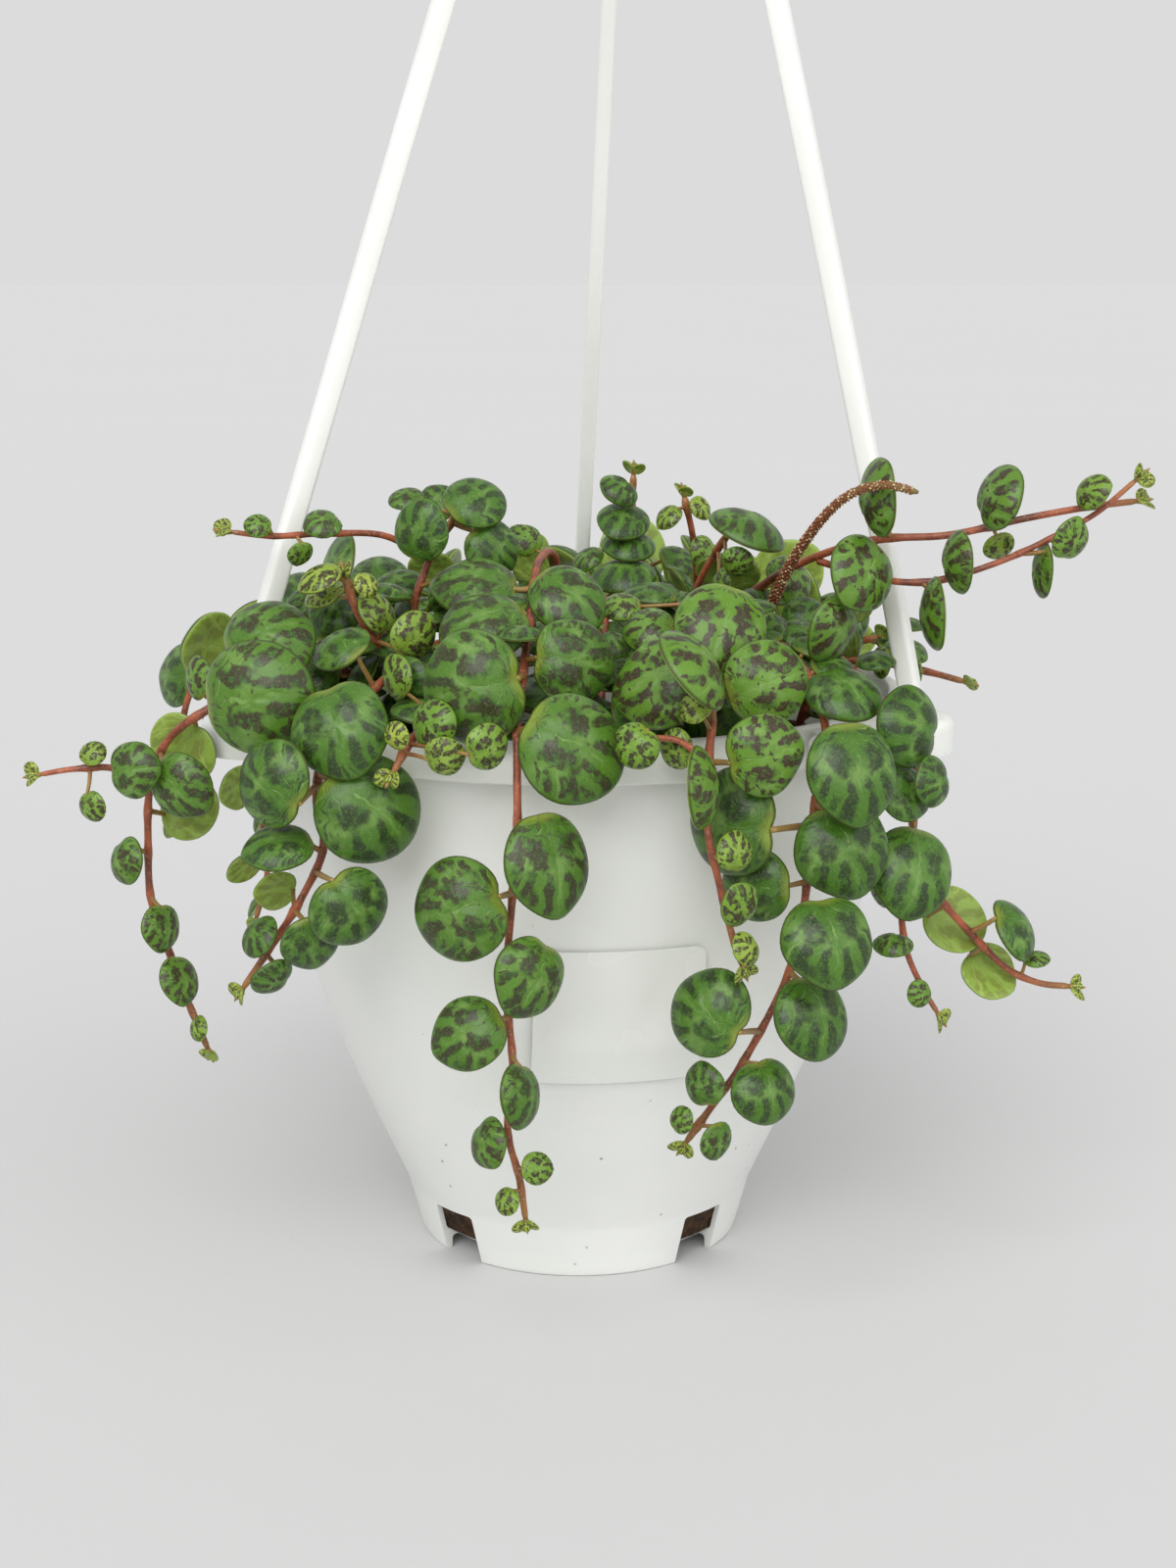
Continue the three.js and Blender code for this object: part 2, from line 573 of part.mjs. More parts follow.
function setLeaf(shoot, [x, y, z, size, yaw, pitch]) {
  const centre = new THREE.Vector3(x, y, z);
  const base = leafBase(shoot, centre, size);
  const level = Math.cos(degrees(pitch));
  const normal = new THREE.Vector3(
    level * Math.sin(degrees(yaw)), -level * Math.cos(degrees(yaw)), Math.sin(degrees(pitch)));
  const tip = centre.clone().sub(base);
  tip.addScaledVector(normal, -tip.dot(normal)).normalize();
  return { node: shoot.node, shoot, base, tip, normal, centre, size };
}

// Hand-placed leaf, moved a little nearer or farther and made smaller until it is clear
function fitLeaf(shoot, place, plant) {
  const [x, y, z, size, yaw, pitch] = place;
  for (const scale of [1, 0.9, 0.8, 0.7]) {
    for (const shift of [0, -2, 2, -4, 4, -6, 6]) {
      const leaf = setLeaf(shoot, [x, y + shift, z, size * scale, yaw, pitch]);
      if (!leafIsClear(leaf, plant)) continue;
      plant.leaves.push(leaf);
      return;
    }
  }
}

function leafSolid(leaf) {
  const small = leaf.size < SMALL_LEAF;
  const sides = leaf.size < LARGE_LEAF ? 6 : 8;
  const blade = new THREE.SphereGeometry(1, sides, small ? 2 : 3);
  const across = leaf.tip.clone().cross(leaf.normal);
  const anchor = nearestOnStem(leaf.shoot, leaf.base);
  const place = blade.attributes.position;
  for (let i = 0; i < place.count; i += 1) {
    const level = place.getY(i);
    const angle = Math.atan2(place.getZ(i), place.getX(i));
    const [share, height] = bladeLevel(level, small);
    const radius = share * leaf.size / 2 * (1 + 0.06 * Math.cos(angle));
    const point = leaf.centre.clone().addScaledVector(leaf.tip, radius * Math.cos(angle));
    point.addScaledVector(across, radius * Math.sin(angle));
    point.addScaledVector(leaf.normal, height * leaf.size);
    if (share === 1 && Math.cos(angle) < -0.99) point.copy(anchor).addScaledVector(leaf.tip, -0.4);
    place.setXYZ(i, point.x, point.y, point.z);
  }
  return solidOf(blade);
}

// Share of the blade's radius, and height over its rim in blade widths, by level on the ball
function bladeLevel(level, small) {
  if (level > 0.9) return [0, DOME];
  if (level < -0.9) return [0, small ? -0.1 : HOLLOW];
  if (level > 0.1) return [0.62, DOME * 0.72];
  return [1, 0];
}

// Where a stem or leaf may be
function blockedByHolder(point) {
  const radius = Math.hypot(point.x, point.y);
  const overSoil = radius < SOIL_EDGE_RADIUS - 1 && point.z > soilHeight(radius) + 1;
  const outside = radius > (point.z < RIM_BOTTOM - 1 ? wallRadius(point.z) : RIM_RADIUS) + 1.5;
  if (point.z < RIM_TOP + 1 && !overSoil && !outside) return true;
  return EAR_ANGLES.some((angle) => {
    const lug = onAxis(EAR_CENTRE, angle, 0);
    const onEar = Math.hypot(point.x - lug.x, point.y - lug.y) < EAR_RADIUS + 2;
    if (onEar && point.z < RIM_TOP + 1.5 && point.z > RIM_BOTTOM - 1.5) return true;
    const foot = onAxis(ARM_FOOT - 0.6, angle, RIM_TOP + 1);
    const arm = new THREE.Line3(foot, HUB);
    return arm.closestPointToPoint(point, true, new THREE.Vector3()).distanceTo(point) < 5;
  });
}

function bladeSamples(leaf) {
  const across = leaf.normal.clone().cross(leaf.tip);
  const points = [];
  for (const [share, count] of [[0, 1], [0.55, 6], [1, 12]]) {
    for (let i = 0; i < count; i += 1) {
      const angle = 2 * Math.PI * i / count;
      const radius = share * leaf.size / 2;
      const point = leaf.centre.clone().addScaledVector(leaf.tip, radius * Math.cos(angle));
      point.addScaledVector(across, radius * Math.sin(angle));
      point.addScaledVector(leaf.normal, DOME / 2 * leaf.size * (1 - share * share));
      points.push(point);
    }
  }
  return points;
}

function insideBlade(leaf, point, margin) {
  const offset = point.clone().sub(leaf.centre);
  const height = offset.dot(leaf.normal);
  const distance = offset.addScaledVector(leaf.normal, -height).length();
  const radius = leaf.size / 2;
  if (distance > radius + margin) return false;
  const dome = DOME * leaf.size * Math.max(0, 1 - (distance / radius) ** 2);
  return height > -margin && height < dome + margin;
}

function leafIsClear(leaf, plant) {
  const points = bladeSamples(leaf);
  if (points.some(blockedByHolder)) return false;
  for (const other of plant.leaves) {
    if (other.centre.distanceTo(leaf.centre) > (other.size + leaf.size) / 2 + MARGIN) continue;
    if (points.some((point) => insideBlade(other, point, MARGIN))) return false;
    if (bladeSamples(other).some((point) => insideBlade(leaf, point, MARGIN))) return false;
  }
  return plant.stems.every(({ node, points: path }) => {
    if (node !== leaf.node) return !path.some((point) => insideBlade(leaf, point, STEM_MARGIN));
    const beyond = path.filter((point) => point.distanceTo(leaf.base) > OWN_STEM_NEAR);
    return !beyond.some((point) => insideBlade(leaf, point, OWN_STEM_MARGIN));
  });
}

function stemIsClear(shoot, plant) {
  const path = stemSamples(shoot).filter((point) => point.z > soilHeight(0) + 1);
  if (path.some(blockedByHolder)) return false;
  const space = 2 * STEM_RADIUS + 0.6;
  for (const { points } of plant.stems) {
    if (path.some((point) => points.some((other) => other.distanceTo(point) < space))) return false;
  }
  return !plant.leaves.some((leaf) => path.some((point) => insideBlade(leaf, point, STEM_MARGIN)));
}

function addStem(shoot, plant) {
  plant.shoots.push(shoot);
  plant.stems.push({ node: shoot.node, points: stemSamples(shoot) });
}

// Leaves along a shoot that has no hand-placed ones: alternate sides, smaller towards the tip
function growLeaves(shoot, plant, draw) {
  const { first, step, largest, smallest } = shoot.growth;
  const last = shoot.route.length - 1;
  let way = 1;
  for (let at = first; at <= last + 0.01; at += step) {
    const share = (at - first) / (last - first);
    const size = THREE.MathUtils.lerp(largest, smallest, share) * (0.88 + 0.24 * draw());
    const turn = way * (48 + 34 * draw());
    const roll = 36 * (draw() - 0.5);
    way = -way;
    const tries = [[0, 1], [22, 1], [-22, 1], [0, 0.8], [40, 0.8], [-40, 0.8], [0, 0.62], [60, 0.62]];
    for (const [shift, scale] of tries) {
      const leaf = placeLeaf(shoot, [at, turn + way * shift, size * scale, roll]);
      if (!leafIsClear(leaf, plant)) continue;
      plant.leaves.push(leaf);
      break;
    }
  }
}

function trailRoute(angle, end, draw) {
  const bend = () => 7 * (draw() - 0.5);
  const crest = 118 + 5 * draw();
  const route = [onAxis(38, angle + bend(), crest), onAxis(51, angle + bend(), crest + 2),
    onAxis(65, angle, crest), onAxis(75, angle, crest - 7), onAxis(79, angle, crest - 17)];
  let sway = angle;
  for (let height = crest - 27; height > end; height -= 10) {
    sway += bend();
    route.push(onAxis(78 + 2 * draw(), sway, height));
  }
  return route.map((point) => point.toArray());
}

function crownRoute(angle, radius, top, draw) {
  const lean = 10 + 8 * draw();
  const reach = [0.1, 0.35, 0.7, 1.15];
  const rise = [0.3, 0.62, 0.88, 1];
  const start = soilHeight(radius);
  return reach.map((share, i) =>
    onAxis(radius + lean * share, angle + 5 * (draw() - 0.5), start + (top - start) * rise[i]).toArray());
}

function growShoot(name, makeRoute, rootRadius, angle, growth, plant, draw) {
  for (let shift = 0; shift < 12; shift += 1) {
    const turned = angle + (shift % 2 ? -1 : 1) * Math.ceil(shift / 2) * 4;
    const root = onAxis(rootRadius, turned, 0);
    const shoot = { node: name, root: [root.x, root.y], route: makeRoute(turned), growth };
    if (!stemIsClear(shoot, plant)) continue;
    addStem(shoot, plant);
    growLeaves(shoot, plant, draw);
    return;
  }
}

function growPlant() {
  const plant = { shoots: [], stems: [], leaves: [] };
  for (const shoot of SHOOTS) addStem(shoot, plant);
  plant.stems.push({ node: 'flower_spike', points: stemSamples(spikeShoot()) });
  for (const shoot of SHOOTS) {
    for (const place of shoot.leaves) fitLeaf(shoot, place, plant);
  }
  TRAIL_ANGLES.forEach((angle, i) => {
    const draw = seededDraw(100 + i);
    const growth = { first: 0.4, step: 0.9, largest: 18, smallest: 7 };
    const route = (turned) => trailRoute(turned, TRAIL_ENDS[i], seededDraw(200 + i));
    growShoot(`trail_back_${i + 1}`, route, 27, angle, growth, plant, draw);
  });
  for (let i = 0; i < CROWN_SHOOTS; i += 1) {
    const draw = seededDraw(300 + i);
    const radius = 10 + 34 * Math.sqrt((i + 0.5) / CROWN_SHOOTS);
    const growth = { first: 0.6, step: 3.2 / CROWN_LEAVES, largest: 17, smallest: 9 };
    const top = 134 - 16 * (radius / 44) + 8 * draw();
    const route = (turned) => crownRoute(turned, radius, top, seededDraw(400 + i));
    growShoot(`crown_${i + 1}`, route, radius, i * GOLDEN_ANGLE, growth, plant, draw);
  }
  return plant;
}

// Flower spike: a bare stalk, then a thicker spike covered in rows of small bumps
function spikeShoot() {
  return { node: 'flower_spike', root: SPIKE_ROOT, route: SPIKE_ROUTE };
}

function spikeSolid() {
  const curve = stemCurve(spikeShoot());
  const centres = curve.getSpacedPoints(SPIKE_STEPS);
  const tube = sweep(roundSection(SPIKE_RADIUS, SPIKE_SIDES), curve, SPIKE_STEPS);
  const stalkEnd = Math.round(SPIKE_STEPS * 0.42);
  return solidOf(reshape(tube, centres, (k, offset) => {
    if (k < stalkEnd) return STEM_RADIUS / SPIKE_RADIUS;
    const share = (k - stalkEnd) / (SPIKE_STEPS - stalkEnd);
    const row = Math.round(Math.atan2(offset.x, offset.z) / (Math.PI / 4));
    const bump = (row + k) % 2 ? SPIKE_BUMP : 0;
    return 1 - 0.55 * share + bump * (1 - share);
  }));
}

// Whole object
const group = new THREE.Group();

function addMesh(name, solid, colour, roughness) {
  const material = new THREE.MeshStandardMaterial({ color: colour, roughness, metalness: 0 });
  const mesh = new THREE.Mesh(geometryOf(solid), material);
  mesh.name = name;
  group.add(mesh);
}

const plant = growPlant();
const roots = plant.shoots.filter((shoot) => shoot.root).map((shoot) => shoot.root);

addMesh('pot', potSolid(), COLOURS.plastic, 0.45);
addMesh('soil', soilSolid([...roots, SPIKE_ROOT]), COLOURS.soil, 0.95);
addMesh('hanger', hangerSolid(), COLOURS.plastic, 0.45);
addMesh('label', labelSolid(), COLOURS.film, 0.3);
addMesh('flower_spike', spikeSolid(), COLOURS.spike, 0.6);

const names = [...new Set(plant.shoots.map((shoot) => shoot.node))];
for (const name of names) {
  const stems = plant.shoots.filter((shoot) => shoot.node === name).map(stemSolid);
  const leaves = plant.leaves.filter((leaf) => leaf.node === name).map(leafSolid);
  addMesh(name, fuse([...stems, ...leaves]), COLOURS.leaf, 0.4);
}

export default group;
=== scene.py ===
"""Potted string of turtles: the plant, its white pot and hanger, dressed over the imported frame.

Metres, +Z up, apart from the plant's layout, which is on a grid of whole millimetres.
"""
import math
from contextlib import contextmanager

import bmesh
import bpy
import numpy as np
from mathutils import Matrix, Vector
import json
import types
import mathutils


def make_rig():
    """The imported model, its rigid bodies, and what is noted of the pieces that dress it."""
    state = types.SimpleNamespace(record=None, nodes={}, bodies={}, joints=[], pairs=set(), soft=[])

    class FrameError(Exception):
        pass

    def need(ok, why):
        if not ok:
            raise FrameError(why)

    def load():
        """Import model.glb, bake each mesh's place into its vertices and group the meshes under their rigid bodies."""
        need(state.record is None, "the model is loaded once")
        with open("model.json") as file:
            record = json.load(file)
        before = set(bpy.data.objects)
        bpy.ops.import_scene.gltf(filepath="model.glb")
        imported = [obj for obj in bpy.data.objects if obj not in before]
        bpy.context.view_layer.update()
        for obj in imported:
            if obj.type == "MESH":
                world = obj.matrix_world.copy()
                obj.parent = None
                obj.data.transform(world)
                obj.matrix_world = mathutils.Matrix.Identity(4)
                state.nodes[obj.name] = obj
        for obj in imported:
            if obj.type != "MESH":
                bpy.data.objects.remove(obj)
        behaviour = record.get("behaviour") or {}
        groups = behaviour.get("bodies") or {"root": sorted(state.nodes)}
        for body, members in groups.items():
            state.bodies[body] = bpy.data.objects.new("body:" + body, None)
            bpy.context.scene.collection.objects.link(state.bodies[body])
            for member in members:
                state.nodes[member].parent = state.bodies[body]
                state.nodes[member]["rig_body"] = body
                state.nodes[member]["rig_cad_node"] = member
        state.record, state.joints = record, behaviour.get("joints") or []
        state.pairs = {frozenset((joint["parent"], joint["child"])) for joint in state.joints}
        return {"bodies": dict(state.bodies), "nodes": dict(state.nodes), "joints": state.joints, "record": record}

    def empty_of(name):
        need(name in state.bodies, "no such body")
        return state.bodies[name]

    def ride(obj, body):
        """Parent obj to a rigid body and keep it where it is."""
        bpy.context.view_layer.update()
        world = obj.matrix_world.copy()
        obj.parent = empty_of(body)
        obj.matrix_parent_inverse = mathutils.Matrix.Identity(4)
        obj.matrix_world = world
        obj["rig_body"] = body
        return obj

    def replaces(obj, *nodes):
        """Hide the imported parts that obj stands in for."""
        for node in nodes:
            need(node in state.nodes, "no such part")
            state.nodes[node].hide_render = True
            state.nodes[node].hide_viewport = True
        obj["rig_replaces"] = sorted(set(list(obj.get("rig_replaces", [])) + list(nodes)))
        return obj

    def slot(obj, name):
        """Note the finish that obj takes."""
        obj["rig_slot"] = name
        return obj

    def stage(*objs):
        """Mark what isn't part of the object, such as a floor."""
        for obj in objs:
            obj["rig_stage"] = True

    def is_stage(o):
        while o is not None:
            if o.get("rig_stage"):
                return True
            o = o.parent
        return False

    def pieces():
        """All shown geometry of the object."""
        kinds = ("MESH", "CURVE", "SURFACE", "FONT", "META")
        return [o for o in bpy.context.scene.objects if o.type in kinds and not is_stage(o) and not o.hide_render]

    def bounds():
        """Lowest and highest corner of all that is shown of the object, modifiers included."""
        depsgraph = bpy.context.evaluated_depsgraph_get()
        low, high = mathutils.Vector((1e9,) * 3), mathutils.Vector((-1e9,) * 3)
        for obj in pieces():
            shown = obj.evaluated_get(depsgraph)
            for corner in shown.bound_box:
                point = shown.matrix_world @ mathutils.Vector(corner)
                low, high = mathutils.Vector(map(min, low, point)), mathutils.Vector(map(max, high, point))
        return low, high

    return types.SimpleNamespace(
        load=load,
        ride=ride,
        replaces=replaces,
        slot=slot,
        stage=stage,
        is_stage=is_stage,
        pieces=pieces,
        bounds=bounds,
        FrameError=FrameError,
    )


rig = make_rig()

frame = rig.load()
cad_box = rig.bounds()

MM = 0.001

# Pot, in metres: radius and height up the outer wall, and the radius that each corner is rounded to
WALL_OUTLINE = [(0.0323, 0), (0.0352, 0.011), (0.0439, 0.0305), (0.053, 0.0534), (0.059, 0.08),
                (0.0615, 0.1045)]
WALL_ROUNDING = [0.0005, 0.0011, 0.03, 0.03, 0.03, 0.0004]
FOOT_ROUNDING = [0, 0.0008, 0.0003]
RIM_ROUNDING = [0.0006, 0.0007, 0.001, 0.0008, 0.0005]
INNER_ROUNDING = [0.0005, 0.02, 0.02, 0.02, 0.02]
FLOOR_ROUNDING = [0.001, 0]
WALL = 0.0012
FOOT_WALL = 0.0014
FLOOR_BOTTOM = 0.0025
FLOOR_TOP = 0.004
RIM_RADIUS = 0.065
RIM_BOTTOM = 0.1045
RIM_BEAD_TOP = 0.1073
RIM_SHOULDER = (0.0641, 0.11)
RIM_TOP = 0.1116
RIM_TOP_RADIUS = 0.0626
RIM_INNER_RADIUS = 0.0608
POT_SIDES = 160
NOTCH_WIDTH = 0.0102
NOTCH_HEIGHT = 0.0104
NOTCH_CORNER = 0.0008
NOTCH_DEPTHS = (0.029, 0.042)
NOTCH_ANGLES = (45, 135, 225, 315)

# Ears on the rim that hold the hanger, measured from the pot's axis
EAR_ANGLES = (90, 210, 330)
EAR_CENTRE = 0.067
EAR_RADIUS = 0.011
EAR_START = 0.062
EAR_ROOT_RADIUS = 0.061
EAR_ROOT_HALF = 0.024
EAR_BOTTOM = 0.1048
EAR_TOP = 0.1113
EAR_WALL = 0.0014
EAR_PLATE = 0.0016
EAR_HOLE = (0.0058, 0.0052)
EAR_BEND = (0.002, 0.003)
EAR_ROUNDING = 0.0018
CUT_MARGIN = 0.003

# Hanger
ARM_SECTION = (0.0032, 0.004)
ARM_CORNER = 0.0009
ARM_FOOT = 0.0713
ARM_NECK = ARM_FOOT - 0.0006
ARM_BOW = 0.0012
KNOB = (0.0074, 0.0066, 0.0026)
KNOB_CORNER = 0.0012
KNOB_CENTRE = 0.108
KNOB_LEVELS = ((-1, 0.78), (-0.6, 1), (0.6, 1), (1, 0.86))
HUB = (0.011, 0, 0.35)
HUB_RADIUS = 0.006
HUB_HEIGHT = 0.012
HUB_LEVELS = ((-0.5, 0.82), (-0.44, 0.98), (0, 0.9), (0.44, 0.76), (0.5, 0.6))
HUB_SIDES = 24
HOOK_WIRE = 0.0021
HOOK_RADIUS = 0.014
HOOK_CENTRE_HEIGHT = 0.036
HOOK_TURNS = range(-52, 205, 16)
HOOK_TIP = (0.96, 0.82, 0.5)

# Clear label, left blank
LABEL_WIDTH = 0.031
LABEL_BOTTOM = 0.046
LABEL_TOP = 0.073
LABEL_ANGLE = -82
LABEL_THICKNESS = 0.0004
LABEL_LIFT = 0.00048
LABEL_CORNER = 0.0022
LABEL_COLUMNS = 40
LABEL_ROWS = 30

# Soil, with the widths of its grains in millimetres
SOIL_GAP = 0.0004
SOIL_TOP = 0.103
SOIL_DROP = 0.006
SOIL_EDGE_RADIUS = 0.0585
SOIL_SIDES = 120
SOIL_LUMP = 0.0012
GRAINS = 1500
GRAIN_KINDS = 3
GRAIN_WIDTHS = (0.4, 1.1)

# Plant layout, in millimetres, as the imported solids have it
ROOT_HEIGHTS = (-8, -2, 3)
STEM_RADIUS = 1.15
PETIOLE = 0.06
DROOP = 24
DOME = 0.17
MIDDLE_OF_PLANT = 80
LEAF_REACH = 0.56
MARGIN = 1.1
STEM_MARGIN = MARGIN + STEM_RADIUS
OWN_STEM_MARGIN = 0.9
OWN_STEM_NEAR = 3
FIT_SCALES = (1, 0.9, 0.8, 0.7)
FIT_SHIFTS = (0, -2, 2, -4, 4, -6, 6)

